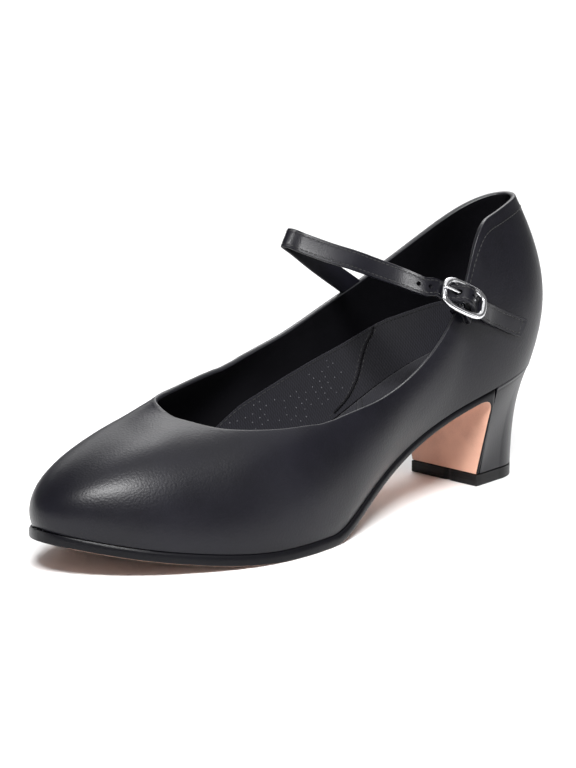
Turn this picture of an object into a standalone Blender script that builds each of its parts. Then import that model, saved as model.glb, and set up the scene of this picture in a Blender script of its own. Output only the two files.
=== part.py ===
"""Left character shoe with one instep strap, modelled from the sizes of its last.

Metres, +Z up. The toe points to -Y and the wearer's left, the outer side, is +X. The origin lies on the
floor under the heel. A place on the shoe is given as along (forward from the back), across (outwards
from the heel's centre line) and up (from the floor).
"""
import math

import bmesh
import bpy
import numpy as np
from mathutils import Vector

# Last and upper
LENGTH = 0.246
BALL_WIDTH = 0.082
COLLAR_HEIGHT = 0.0635
WALL = 0.002
CLEARANCE = 0.0003
HEEL_AXIS = 0.030

# Sole: heights from the floor and places along the shoe
HEEL_HEIGHT = 0.047
TREAD_BACK = 0.1445
TREAD_FRONT = 0.170
TOE_SPRING = 0.0125
SPRING_POWER = 1.7
WAIST_THICKNESS = 0.003
TREAD_THICKNESS = 0.004
LEDGE = 0.0011
WAIST_INSET = 0.0004
EDGE_BEVEL = 0.0009

# Heel block, its breast flap and its top lift
BREAST = 0.0435
FLAP_THICKNESS = 0.002
BREAST_FILLET = 0.0075
FLAP_INSET = 0.0006
LIFT_HEIGHT = 0.0048
LIFT_WIDTH = 0.0345
LIFT_BACK = 0.012
LIFT_TAPER = 0.0015

# Insole sock
SOCK_THICKNESS = 0.0016
SOCK_CLEARANCE = 0.0005

# Strap, its holes and the buckle
STRAP_ROOT_WIDTH = 0.0086
STRAP_WIDTH = 0.0075
STRAP_TIP_SLANT = 0.30
STRAP_THICKNESS = 0.0016
HOLE_DIAMETER = 0.0018
HOLE_PITCH = 0.0046
BUCKLE_LENGTH = 0.0200
BUCKLE_BAND = 0.0025
BUCKLE_THICKNESS = 0.0018
BUCKLE_PLAY = 0.0007
BUCKLE_SQUARENESS = 0.52
BAR_DIAMETER = 0.0015
PRONG_DIAMETER = 0.0012
TAB_WIDTH = 0.0066
TAB_THICKNESS = 0.0011

# Mesh fineness
RING_STEPS = 84
WALL_STEPS = 9
SOLE_STEPS = 30
STRAP_STEPS = 150
SOCK_STEPS = 25
SOCK_COLUMNS = 7
TAB_STEPS = 56

# Underside of the sole behind the tread: share of the way back, share of the heel height
SHANK = (
    # back, height
    (0.000, 0.000),
    (0.045, 0.024),
    (0.100, 0.093),
    (0.170, 0.198),
    (0.310, 0.394),
    (0.446, 0.564),
    (0.585, 0.704),
    (0.703, 0.800),
    (0.860, 0.910),
    (1.000, 1.010),
)

# Upper, one row for each section round the last, from the back seam over the outer side to the toe and
# home over the inner side. Along values are shares of LENGTH, across values of BALL_WIDTH. The top
# line's height over the sole and the four handles that swell the wall are shares of COLLAR_HEIGHT.
SECTIONS = (
    # name, foot_along, foot_across, top_along, top_across, top_up, low_out, low_up, high_out, high_down
    ("back seam", 0.024, 0.000, 0.033, 0.000, 0.982, 0.14, 0.30, 0.20, 0.42),
    ("back curve", 0.037, 0.159, 0.054, 0.107, 1.003, 0.12, 0.31, 0.22, 0.42),
    ("counter", 0.073, 0.262, 0.098, 0.180, 1.022, 0.10, 0.32, 0.22, 0.42),
    ("counter front", 0.122, 0.311, 0.150, 0.228, 1.030, 0.09, 0.32, 0.17, 0.42),
    ("collar corner", 0.171, 0.320, 0.193, 0.265, 1.008, 0.07, 0.30, 0.11, 0.40),
    ("collar drop", 0.211, 0.315, 0.220, 0.283, 0.881, 0.06, 0.27, 0.08, 0.31),
    ("buckle", 0.248, 0.306, 0.238, 0.295, 0.741, 0.06, 0.24, 0.06, 0.25),
    ("below buckle", 0.289, 0.301, 0.268, 0.312, 0.604, 0.06, 0.20, 0.05, 0.19),
    ("waist", 0.341, 0.305, 0.317, 0.328, 0.490, 0.06, 0.17, 0.05, 0.16),
    ("shank", 0.411, 0.332, 0.386, 0.343, 0.443, 0.06, 0.16, 0.05, 0.14),
    ("arch", 0.492, 0.396, 0.467, 0.360, 0.494, 0.06, 0.17, 0.07, 0.14),
    ("ball back", 0.581, 0.468, 0.557, 0.366, 0.610, 0.05, 0.19, 0.11, 0.13),
    ("ball", 0.671, 0.497, 0.642, 0.345, 0.638, 0.04, 0.20, 0.16, 0.11),
    ("ball front", 0.760, 0.460, 0.699, 0.293, 0.653, 0.03, 0.20, 0.19, 0.11),
    ("toe side", 0.846, 0.359, 0.740, 0.201, 0.665, 0.02, 0.21, 0.25, 0.11),
    ("toe corner", 0.927, 0.213, 0.764, 0.073, 0.690, 0.04, 0.27, 0.36, 0.11),
    ("toe tip", 0.992, -0.073, 0.772, -0.018, 0.716, 0.09, 0.31, 0.40, 0.11),
    ("inner toe corner", 0.974, -0.222, 0.768, -0.104, 0.758, 0.10, 0.31, 0.32, 0.14),
    ("inner toe side", 0.928, -0.341, 0.736, -0.180, 0.784, 0.08, 0.28, 0.18, 0.17),
    ("inner ball front", 0.866, -0.427, 0.681, -0.238, 0.797, 0.04, 0.26, 0.16, 0.19),
    ("inner ball", 0.785, -0.473, 0.618, -0.276, 0.819, 0.03, 0.25, 0.16, 0.19),
    ("inner ball back", 0.699, -0.456, 0.557, -0.293, 0.828, 0.04, 0.24, 0.16, 0.20),
    ("inner arch", 0.606, -0.366, 0.492, -0.295, 0.779, 0.05, 0.25, 0.11, 0.22),
    ("inner shank", 0.508, -0.278, 0.431, -0.295, 0.738, 0.06, 0.27, 0.07, 0.24),
    ("inner waist", 0.411, -0.241, 0.366, -0.296, 0.724, 0.09, 0.27, 0.05, 0.24),
    ("strap root", 0.317, -0.254, 0.301, -0.293, 0.725, 0.09, 0.27, 0.06, 0.25),
    ("inner quarter", 0.228, -0.288, 0.228, -0.272, 0.767, 0.08, 0.28, 0.08, 0.31),
    ("inner counter", 0.138, -0.305, 0.146, -0.224, 0.860, 0.08, 0.30, 0.11, 0.38),
    ("inner back", 0.073, -0.262, 0.085, -0.161, 0.941, 0.10, 0.31, 0.18, 0.42),
    ("inner back curve", 0.037, -0.159, 0.049, -0.085, 0.975, 0.12, 0.30, 0.20, 0.42),
)

# Seam between the two socks: share of half the inner width, share of LENGTH
SOCK_SEAM = (
    # across, along
    (-1.0, 0.300),
    (-0.5, 0.345),
    (0.0, 0.385),
    (0.5, 0.425),
    (1.0, 0.450),
)


# Free arch of the strap from the inner collar to the buckle: shares of LENGTH, BALL_WIDTH and, over the
# sole, COLLAR_HEIGHT, then the direction of its upper edge (across, back, up)
STRAP_ARCH = (
    # along, across, up, edge_across, edge_back, edge_up
    (0.364, -0.305, 0.997, -0.02, 0.66, 0.75),
    (0.404, -0.332, 1.181, -0.13, 0.62, 0.78),
    (0.420, -0.343, 1.256, -0.13, 0.62, 0.78),
    (0.418, -0.322, 1.255, -0.13, 0.62, 0.78),
    (0.404, -0.282, 1.203, -0.11, 0.61, 0.79),
    (0.384, -0.171, 1.122, -0.06, 0.56, 0.83),
    (0.369, -0.049, 1.063, -0.02, 0.53, 0.85),
    (0.360, 0.086, 1.012, -0.06, 0.52, 0.85),
    (0.348, 0.211, 0.954, -0.16, 0.52, 0.84),
    (0.330, 0.290, 0.885, -0.28, 0.56, 0.78),
)
STRAP_FOOT_TURN = 0.833

# Buckle: centre as shares of LENGTH, BALL_WIDTH and COLLAR_HEIGHT, and where its frame points
BUCKLE_PLACE = (0.275, 0.384, 0.733)
BUCKLE_RUN = (0.41, 0.79, -0.46)
BUCKLE_EDGE = (-0.42, 0.49, 0.76)

# Strap end on the outer quarter and anchor tab: ring turn, height on the wall, how far off the wall
STRAP_TAIL = (
    # turn, height, stand_off
    (0.115, 0.575, 0.0020),
    (0.103, 0.480, 0.0007),
    (0.091, 0.400, 0.0003),
    (0.080, 0.340, 0.0003),
)
TAB_INSIDE = ((0.1275, 0.65), (0.1363, 0.79), (0.1438, 0.92))
TAB_TURN = 0.1475
TAB_FOLD = (
    # turn, height, stand-off from the leather, and how far the tab has turned to the buckle
    (0.1440, 0.925, 0.0015, 0.0),
    (0.1412, 0.850, 0.0016, 0.0),
    (0.1396, 0.800, 0.0023, 0.1),
    (0.1412, 0.825, 0.0034, 0.3),
    (0.1445, 0.890, 0.0039, 0.6),
)


def place(along, across, up):
    """World point from a place on the shoe."""
    return np.stack(np.broadcast_arrays(across, HEEL_AXIS - np.asarray(along), up), axis=-1)


def monotone(knots, values, at):
    """Smooth curve through rows that never swings past them."""
    knots = np.asarray(knots, float)
    values = np.asarray(values, float)
    steps = np.diff(knots)
    slopes = np.diff(values) / steps
    tangents = np.zeros(len(knots))
    for k in range(1, len(knots) - 1):
        if slopes[k - 1] * slopes[k] > 0:
            before = 2 * steps[k] + steps[k - 1]
            after = steps[k] + 2 * steps[k - 1]
            tangents[k] = (before + after) / (before / slopes[k - 1] + after / slopes[k])
    tangents[-1] = slopes[-1]
    at = np.asarray(at, float)
    k = np.clip(np.searchsorted(knots, at, side="right") - 1, 0, len(steps) - 1)
    t = (at - knots[k]) / steps[k]
    start = (1 + 2 * t) * (1 - t) ** 2 * values[k] + t * (1 - t) ** 2 * steps[k] * tangents[k]
    end = t * t * (3 - 2 * t) * values[k + 1] - t * t * (1 - t) * steps[k] * tangents[k + 1]
    return start + end


def closed_spline(knots, rows, at):
    """Curve with smooth curvature through rows that closes on itself. The last knot is the first row."""
    steps = np.diff(knots)
    count = len(steps)
    slopes = (np.roll(rows, -1, axis=0) - rows) / steps[:, None]
    system = np.zeros((count, count))
    for k in range(count):
        system[k, k - 1] += steps[k - 1]
        system[k, k] += 2 * (steps[k - 1] + steps[k])
        system[k, (k + 1) % count] += steps[k]
    bends = np.linalg.solve(system, 6 * (slopes - np.roll(slopes, 1, axis=0)))
    at = np.mod(at, knots[-1])
    k = np.clip(np.searchsorted(knots, at, side="right") - 1, 0, count - 1)
    following = (k + 1) % count
    step = steps[k][:, None]
    near = (np.asarray(knots)[k + 1] - at)[:, None]
    far = (at - np.asarray(knots)[k])[:, None]
    curve = (bends[k] * near ** 3 + bends[following] * far ** 3) / (6 * step)
    curve += (rows[k] / step - bends[k] * step / 6) * near
    return curve + (rows[following] / step - bends[following] * step / 6) * far


def open_spline(points, count):
    """Smooth path through points, as evenly spaced samples."""
    points = np.asarray(points, float)
    chords = np.linalg.norm(np.diff(points, axis=0), axis=1)
    knots = np.concatenate([[0], np.cumsum(np.sqrt(chords))])
    padded = np.vstack([2 * points[0] - points[1], points, 2 * points[-1] - points[-2]])
    widths = np.concatenate([[knots[1]], np.diff(knots), [knots[-1] - knots[-2]]])
    fine = []
    for k in range(len(points) - 1):
        a, b, c, d = padded[k:k + 4]
        w0, w1, w2 = widths[k:k + 3]
        start = w1 * ((b - a) / w0 - (c - a) / (w0 + w1) + (c - b) / w1)
        end = w1 * ((c - b) / w1 - (d - b) / (w1 + w2) + (d - c) / w2)
        t = np.linspace(0, 1, 25)[:-1, None]
        fine.append((1 + 2 * t) * (1 - t) ** 2 * b + t * (1 - t) ** 2 * start
                    + t * t * (3 - 2 * t) * c - t * t * (1 - t) * end)
    fine = np.vstack(fine + [points[-1:]])
    run = np.concatenate([[0], np.cumsum(np.linalg.norm(np.diff(fine, axis=0), axis=1))])
    even = np.linspace(0, run[-1], count)
    return np.stack([np.interp(even, run, fine[:, k]) for k in range(fine.shape[1])], axis=1)


def underside(along):
    """Height of the sole's lower face: shank, flat tread and toe spring."""
    along = np.asarray(along, float)
    back = np.clip((TREAD_BACK - along) / TREAD_BACK, 0, 1)
    shares = np.array(SHANK)
    shank = HEEL_HEIGHT * monotone(shares[:, 0], shares[:, 1], back)
    front = np.clip((along - TREAD_FRONT) / (LENGTH - TREAD_FRONT), 0, None)
    return shank + TOE_SPRING * front ** SPRING_POWER


def sole_thickness(along):
    """Thin waist that grows to the full forepart over the ball."""
    blend = np.clip((np.asarray(along, float) - BREAST) / (TREAD_BACK - BREAST), 0, 1)
    return WAIST_THICKNESS + (TREAD_THICKNESS - WAIST_THICKNESS) * blend ** 2 * (3 - 2 * blend)


def floor_height(along):
    """Height of the sole's upper face, which carries upper and sock."""
    return underside(along) + sole_thickness(along)


def section_rows():
    """Section table in metres: foot and top points and the handles between them."""
    table = np.array([row[1:] for row in SECTIONS])
    foot = table[:, 0:2] * (LENGTH, BALL_WIDTH)
    top = table[:, 2:4] * (LENGTH, BALL_WIDTH)
    rise = table[:, 4:5] * COLLAR_HEIGHT
    handles = table[:, 5:9] * COLLAR_HEIGHT
    rows = np.hstack([foot, top, rise, handles])
    following = np.roll(rows, -1, axis=0)
    middle = (foot + top) / 2
    middle_next = (following[:, 0:2] + following[:, 2:4]) / 2
    knots = np.concatenate([[0], np.cumsum(np.linalg.norm(middle_next - middle, axis=1))])
    return knots / knots[-1], rows


KNOTS, ROWS = section_rows()


def foot_line(turn):
    """Feather line of the upper, as along and across, with its outward direction."""
    at = np.atleast_1d(turn)
    points = closed_spline(KNOTS, ROWS, at)[:, 0:2]
    step = 0.001
    ahead = closed_spline(KNOTS, ROWS, at + step)[:, 0:2]
    behind = closed_spline(KNOTS, ROWS, at - step)[:, 0:2]
    run = ahead - behind
    outward = np.stack([-run[:, 1], run[:, 0]], axis=1)
    return points, outward / np.linalg.norm(outward, axis=1)[:, None]


def upper_surface(turn, height):
    """Outer face of the upper: turn goes round the ring, height from 0 at the sole to 1 at the top."""
    turn = np.atleast_1d(np.asarray(turn, float))
    height = np.atleast_1d(np.asarray(height, float))
    turn, height = np.broadcast_arrays(turn, height)
    rows = closed_spline(KNOTS, ROWS, turn)
    foot, outward = foot_line(turn)
    outward = np.stack([outward[:, 1], -outward[:, 0], np.zeros(len(turn))], axis=1)
    upward = np.array([0, 0, 1.0])
    low = place(foot[:, 0], foot[:, 1], floor_height(foot[:, 0]) + CLEARANCE)
    high = place(rows[:, 2], rows[:, 3], floor_height(rows[:, 2]) + rows[:, 4])
    low_handle = low + outward * rows[:, 5:6] + upward * rows[:, 6:7]
    high_handle = high + outward * rows[:, 7:8] - upward * rows[:, 8:9]
    t = height[:, None]
    return ((1 - t) ** 3 * low + 3 * t * (1 - t) ** 2 * low_handle
            + 3 * t * t * (1 - t) * high_handle + t ** 3 * high)


def upper_normal(turn, height):
    """Outward direction of the upper's face."""
    turn = np.atleast_1d(np.asarray(turn, float))
    height = np.atleast_1d(np.asarray(height, float))
    turn, height = np.broadcast_arrays(turn, height)
    step = 0.002
    round_run = upper_surface(turn + step, height) - upper_surface(turn - step, height)
    low = np.clip(height - step, 0, 1)
    high = np.clip(height + step, 0, 1)
    up_run = upper_surface(turn, high) - upper_surface(turn, low)
    normal = np.cross(up_run, round_run)
    return normal / np.linalg.norm(normal, axis=1)[:, None]


def upper_point(turn, height, outward):
    """A point at a distance outwards from the upper's outer face."""
    return upper_surface(turn, height) + outward * upper_normal(turn, height)


def turn_at(along, side):
    """Ring turn where the feather line passes a place along the outer (+1) or inner (-1) side."""
    turns = np.linspace(0, 1, 1001)
    points, _ = foot_line(turns)
    tip = int(np.argmax(points[:, 0]))
    if side > 0:
        return float(np.interp(along, points[:tip, 0], turns[:tip]))
    return float(np.interp(along, points[tip:, 0][::-1], turns[tip:][::-1]))


def outline(offset):
    """Feather line moved outwards, as lookups of across by along for each side."""
    turns = np.linspace(0, 1, 601)
    points, outward = foot_line(turns)
    moved = points + outward * (offset(points[:, 0])[:, None] if callable(offset) else offset)
    tip = int(np.argmax(moved[:, 0]))
    back = int(np.argmin(moved[:, 0]))
    if back > len(turns) // 2:
        back = 0
    outer = moved[back:tip + 1]
    inner = moved[tip:][::-1]
    outer = outer[np.argsort(outer[:, 0])]
    inner = inner[np.argsort(inner[:, 0])]
    return outer, inner


def mesh_object(name, vertices, faces, material):
    """Closed object from vertices and faces, with its faces turned outwards."""
    mesh = bpy.data.meshes.new(name)
    mesh.from_pydata([tuple(v) for v in vertices], [], faces)
    work = bmesh.new()
    work.from_mesh(mesh)
    bmesh.ops.remove_doubles(work, verts=work.verts, dist=0.000001)
    bmesh.ops.recalc_face_normals(work, faces=work.faces)
    work.to_mesh(mesh)
    work.free()
    mesh.shade_smooth()
    mesh.set_sharp_from_angle(angle=math.radians(40))
    piece = bpy.data.objects.new(name, mesh)
    piece.data.materials.append(material)
    SHOE.objects.link(piece)
    return piece


def loft(name, rings, material, closed_path=False):
    """Solid through rings of equal length. An open path gets flat ends."""
    count = len(rings[0])
    vertices = np.vstack(rings)
    faces = []
    bands = len(rings) if closed_path else len(rings) - 1
    for k in range(bands):
        here = k * count
        there = (k + 1) % len(rings) * count
        for j in range(count):
            after = (j + 1) % count
            faces.append((here + j, here + after, there + after, there + j))
    if not closed_path:
        faces.append(tuple(range(count)))
        faces.append(tuple(len(vertices) - count + j for j in range(count)))
    return mesh_object(name, vertices, faces, material)


def finish(name, colour, roughness, metallic=0.0):
    """Plain material for one kind of piece."""
    material = bpy.data.materials.new(name)
    material.use_nodes = True
    shader = material.node_tree.nodes["Principled BSDF"]
    shader.inputs["Base Color"].default_value = (*colour, 1)
    shader.inputs["Roughness"].default_value = roughness
    shader.inputs["Metallic"].default_value = metallic
    return material


def make_upper():
    """Hollow wall, open at the collar and underneath."""
    turns = np.arange(RING_STEPS) / RING_STEPS
    foot, outward = foot_line(turns)
    inside_foot = foot - outward * WALL
    rings = []
    for height in np.linspace(0, 1, WALL_STEPS + 1):
        rings.append(upper_surface(turns, np.full(RING_STEPS, height)))
    for height in np.linspace(1, 0, WALL_STEPS + 1)[:-1]:
        rings.append(upper_point(turns, np.full(RING_STEPS, height), -WALL))
    rings.append(place(inside_foot[:, 0], inside_foot[:, 1], floor_height(inside_foot[:, 0]) + CLEARANCE))
    return loft("upper", rings, LEATHER, closed_path=True)


def sole_overhang(along):
    """How far the sole stands out from the upper: a ledge round the forepart, tucked in at the waist."""
    blend = np.clip((along - BREAST) / (TREAD_BACK - BREAST), 0, 1)
    return -WAIST_INSET + (LEDGE + WAIST_INSET) * blend ** 2 * (3 - 2 * blend)


def edge_section(along_low, along_high, outer, inner, low, high):
    """Six-sided section of the sole with its upper edge bevelled."""
    tuck = min(EDGE_BEVEL, (outer - inner) / 8)
    middle = low + (high - low) * 0.55
    along_middle = along_low + (along_high - along_low) * 0.55
    return [
        place(along_low, outer - tuck / 2, low),
        place(along_middle, outer, middle),
        place(along_high, outer - tuck, high),
        place(along_high, inner + tuck, high),
        place(along_middle, inner, middle),
        place(along_low, inner + tuck / 2, low),
    ]


def breast_half_width(up):
    """Half width of the heel's front face at a height."""
    seat = outline(0.0)[0]
    seat_half = float(np.interp(BREAST, seat[:, 0], seat[:, 1])) - WAIST_INSET
    lift_half = LIFT_WIDTH / 2
    share = np.clip((up - LIFT_HEIGHT) / (underside(BREAST) - LIFT_HEIGHT), 0, 1)
    return lift_half + (seat_half - lift_half) * share


def make_outsole():
    """Forepart, waist and the flap that turns down over the heel's breast."""
    outer, inner = outline(sole_overhang)
    tip = outer[-1, 0]
    flap_front = BREAST
    flap_back = BREAST - FLAP_THICKNESS
    fillet_start = flap_front + BREAST_FILLET
    sections = []
    quarter = np.linspace(0, math.pi / 2, SOLE_STEPS * 2)
    for angle in quarter[::-1]:
        along = fillet_start + (tip - 0.00015 - fillet_start) * math.sin(angle)
        left = np.interp(along, outer[:, 0], outer[:, 1])
        right = np.interp(along, inner[:, 0], inner[:, 1])
        sections.append(edge_section(along, along, left, right, underside(along), floor_height(along)))
    corner_low = underside(flap_front)
    flap_top = corner_low - BREAST_FILLET
    corner_high = floor_height(flap_back)
    arc = np.linspace(0, 1, 9)[1:]
    for t in arc:
        start = np.array([fillet_start, underside(fillet_start)])
        bend = np.array([flap_front, corner_low])
        end = np.array([flap_front, flap_top])
        low_along, low_up = (1 - t) ** 2 * start + 2 * t * (1 - t) * bend + t * t * end
        if t <= 0.5:
            high_along = fillet_start + (flap_back - fillet_start) * t / 0.5
            high_up = floor_height(high_along)
        else:
            high_along = flap_back
            high_up = corner_high + (flap_top - corner_high) * (t - 0.5) / 0.5
        left = np.interp(high_along, outer[:, 0], outer[:, 1])
        right = np.interp(high_along, inner[:, 0], inner[:, 1])
        flap_half = breast_half_width(low_up) - FLAP_INSET
        left = left + (flap_half - left) * t
        right = right + (-flap_half - right) * t
        sections.append(edge_section(low_along, high_along, left, right, low_up, high_up))
    for up in np.linspace(flap_top, LIFT_HEIGHT + CLEARANCE, 7)[1:]:
        half = breast_half_width(up) - FLAP_INSET
        sections.append(edge_section(flap_front, flap_back, half, -half, up, up))
    return loft("outsole", [np.vstack(section) for section in sections], SOLE_LEATHER)


def lift_ring(grow, steps):
    """D-shaped outline of the top lift from the outer breast corner round the back."""
    half = LIFT_WIDTH / 2 + grow
    front = BREAST - FLAP_THICKNESS - CLEARANCE
    back = LIFT_BACK - grow
    round_start = back + half * 0.95
    angles = np.linspace(0, math.pi, steps)
    points = [(front, half)]
    for angle in angles:
        side = half - LIFT_TAPER
        points.append((round_start - (round_start - back) * math.sin(angle), side * math.cos(angle)))
    points.append((front, -half))
    return np.array(points)


def even_ring(points, count):
    """Outline resampled at equal steps."""
    run = np.concatenate([[0], np.cumsum(np.linalg.norm(np.diff(points, axis=0), axis=1))])
    at = np.linspace(0, run[-1], count)
    return np.stack([np.interp(at, run, points[:, k]) for k in range(2)], axis=1)


def make_heel():
    """Covered block: straight flared sides, hollowed back, top cut to the seat."""
    front = BREAST - FLAP_THICKNESS - CLEARANCE
    count = 41
    turns = np.linspace(turn_at(front, 1), turn_at(front, -1) - 1, count)
    seat_points, outward = foot_line(turns)
    seat = even_ring(seat_points - outward * WAIST_INSET / 2, count)
    seat[0, 0] = seat[-1, 0] = front
    lift = even_ring(lift_ring(0.0, 60), count)
    turn = np.abs(np.linspace(-1, 1, count))
    power = 1.15 + 1.9 * (1 - turn ** 2)
    rings = []
    base = LIFT_HEIGHT + CLEARANCE
    for share in np.linspace(0, 1, 12):
        blend = (0.15 * share + 0.85 * share ** power)[:, None]
        points = lift + (seat - lift) * blend
        top = floor_height(points[:, 0])
        rings.append(place(points[:, 0], points[:, 1], base + (top - base) * share))
    return heel_solid(rings)


def heel_solid(rings):
    """Close the block with a seat surface that follows the sole's upper face."""
    count = len(rings[0])
    vertices = [v for ring in rings for v in ring]
    faces = []
    for k in range(len(rings) - 1):
        for j in range(count - 1):
            a = k * count + j
            faces.append((a, a + 1, a + 1 + count, a + count))
    half = count // 2
    for k in range(len(rings) - 1):
        a = k * count
        b = a + count - 1
        faces.append((b, a, a + count, b + count))
    for level in (0, len(rings) - 1):
        first = level * count
        for j in range(half):
            a = first + j
            b = first + count - 1 - j
            if a + 1 == b - 1:
                faces.append((a, a + 1, b))
            else:
                faces.append((a, a + 1, b - 1, b))
    return mesh_object("heel", vertices, faces, HEEL_COVER)


def make_top_lift():
    """Flat wearing piece with a small chamfer where it meets the floor."""
    chamfer = 0.0003
    rings = []
    for inset, up in ((chamfer, 0.0), (0.0, chamfer), (0.0, LIFT_HEIGHT)):
        ring = even_ring(lift_ring(-inset, 40), 36)
        ring[[0, -1], 0] += FLAP_THICKNESS + CLEARANCE - inset
        rings.append(place(ring[:, 0], ring[:, 1], up))
    return loft("top_lift", rings, LIFT_RUBBER)


def slab(name, low, high, material):
    """Thin solid between two grids of points."""
    rows, columns = low.shape[0:2]
    count = rows * columns
    vertices = np.vstack([low.reshape(-1, 3), high.reshape(-1, 3)])
    faces = []
    for i in range(rows - 1):
        for j in range(columns - 1):
            a = i * columns + j
            quad = (a, a + 1, a + columns + 1, a + columns)
            faces.append(quad)
            faces.append(tuple(v + count for v in quad))
    border = [(0, j) for j in range(columns)] + [(i, columns - 1) for i in range(1, rows)]
    border += [(rows - 1, j) for j in range(columns - 2, -1, -1)] + [(i, 0) for i in range(rows - 2, 0, -1)]
    border = [i * columns + j for i, j in border]
    for here, there in zip(border, border[1:] + border[:1]):
        faces.append((here, there, there + count, here + count))
    return mesh_object(name, vertices, faces, material)


def sock_half(name, along_of, material):
    """One half of the sock as a curved slab on the sole's upper face."""
    outer, inner = outline(-WALL - SOCK_CLEARANCE)
    shares = np.linspace(-1, 1, SOCK_COLUMNS)
    rows = []
    for step in np.linspace(0, 1, SOCK_STEPS):
        row = []
        for share in shares:
            along = along_of(share, step, outer, inner)
            left = np.interp(along, outer[:, 0], outer[:, 1])
            right = np.interp(along, inner[:, 0], inner[:, 1])
            across = (left + right) / 2 + share * (left - right) / 2
            row.append(place(along, across, floor_height(along) + SOCK_CLEARANCE))
        rows.append(row)
    low = np.array(rows)
    return slab(name, low, low + (0, 0, SOCK_THICKNESS), material)


def seam_along(share):
    """Where the seam between the socks lies."""
    table = np.array(SOCK_SEAM)
    return LENGTH * float(np.interp(share, table[:, 0], table[:, 1]))


def make_insoles():
    """Front and back sock, which meet at the curved seam."""
    def front(share, step, outer, inner):
        tip = min(outer[-1, 0], inner[-1, 0]) - 0.0004
        start = seam_along(share) + CLEARANCE / 2
        return start + (tip - start) * math.sin(step * math.pi / 2)

    def back(share, step, outer, inner):
        end = max(outer[0, 0], inner[0, 0]) + 0.0004
        start = seam_along(share) - CLEARANCE / 2
        return start + (end - start) * math.sin(step * math.pi / 2)

    sock_half("insole_forefoot", front, SOCK_TEXTILE)
    sock_half("insole_heel", back, SOCK_TEXTILE)


def unit(vector):
    """Vector of length one."""
    vector = np.asarray(vector, float)
    return vector / np.linalg.norm(vector)


def shoe_point(along, across, rise):
    """World point from shares of the driving sizes."""
    along = along * LENGTH
    return place(along, across * BALL_WIDTH, floor_height(along) + rise * COLLAR_HEIGHT)


def buckle_frame_axes():
    """Centre of the buckle with its run, edge and outward directions."""
    run = unit(BUCKLE_RUN)
    edge = np.asarray(BUCKLE_EDGE) - np.dot(BUCKLE_EDGE, run) * run
    edge = unit(edge)
    return shoe_point(*BUCKLE_PLACE), run, edge, unit(np.cross(run, edge))


def ribbon(name, path, edges, widths, thickness, material, slants=None):
    """Leather band swept along a path, with its edges slightly rounded and its ends cut at a slant."""
    tangents = np.gradient(path, axis=0)
    widths = np.broadcast_to(widths, len(path))
    slants = np.zeros(len(path)) if slants is None else slants
    rings = []
    round_off = thickness * 0.22
    deep = thickness / 2
    for point, tangent, edge, width, slant in zip(path, tangents, edges, widths, slants):
        tangent = unit(tangent)
        edge = unit(edge - np.dot(edge, tangent) * tangent)
        normal = np.cross(tangent, edge)
        half = width / 2
        corners = ((half - round_off, deep), (half, deep - round_off), (half, round_off - deep),
                   (half - round_off, -deep), (round_off - half, -deep), (-half, round_off - deep),
                   (-half, deep - round_off), (round_off - half, deep))
        rings.append(np.array([point + across * (edge + slant * tangent) + out * normal
                               for across, out in corners]))
    return loft(name, rings, material)


def rim_axes(turn):
    """Middle of the upper's rim with its run backwards, its climb off the wall and its outward side."""
    rim = upper_point(turn, 1.0, -WALL / 2)[0]
    run = unit(upper_surface(turn + 0.003, 1.0)[0] - upper_surface(turn - 0.003, 1.0)[0])
    run = run if run[1] > 0 else -run
    outward = upper_normal(turn, 1.0)[0]
    climb = unit(np.cross(run, outward))
    climb = climb if climb[2] > 0 else -climb
    return rim, run, climb, outward


def bar_hug():
    """Distance from the bar's axis to the middle of the strap that passes over it."""
    return BAR_DIAMETER / 2 + CLEARANCE + PRONG_DIAMETER + CLEARANCE + STRAP_THICKNESS / 2


def strap_path():
    """Centre line of the strap and the direction of its upper edge, from its foot to its tail."""
    centre, run, edge, outward = buckle_frame_axes()
    rim, rim_run, climb, rim_out = rim_axes(STRAP_FOOT_TURN)
    foot = rim + climb * (CLEARANCE * 1.6)
    points = [foot]
    edges = [rim_run]
    for row in STRAP_ARCH:
        points.append(shoe_point(*row[0:3]))
        edges.append(np.array(row[3:6]))
    under = -(BUCKLE_THICKNESS / 2 + CLEARANCE + STRAP_THICKNESS / 2)
    side = (BUCKLE_LENGTH - BUCKLE_BAND) / 2
    hug = bar_hug()
    threading = [(-side * 1.35, under * 0.9), (-side * 1.03, under * 1.03), (-side * 0.78, under)]
    for angle in np.radians((145, 118, 90, 62, 35)):
        threading.append((hug * math.cos(angle), hug * math.sin(angle)))
    threading += [(side * 0.78, under), (side * 1.03, under * 1.03)]
    for along_run, level in threading:
        points.append(centre + run * along_run + outward * level)
        edges.append(edge)
    for turn, height, stand_off in STRAP_TAIL:
        normal = upper_normal(turn, height)[0]
        points.append(upper_point(turn, height, stand_off + STRAP_THICKNESS / 2)[0])
        edges.append(np.cross(normal, run))
    rows = open_spline(np.hstack([np.array(points), np.array(edges) * 0.01]), STRAP_STEPS)
    return rows[:, 0:3], rows[:, 3:6]


def cut(piece, cutter):
    """Take a cutter's shape out of a piece."""
    for collection in list(cutter.users_collection):
        collection.objects.unlink(cutter)
    CUTTERS.objects.link(cutter)
    cutter.hide_render = True
    cutter.display_type = "WIRE"
    modifier = piece.modifiers.new(cutter.name, "BOOLEAN")
    modifier.operation = "DIFFERENCE"
    modifier.solver = "EXACT"
    modifier.object = cutter


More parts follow.
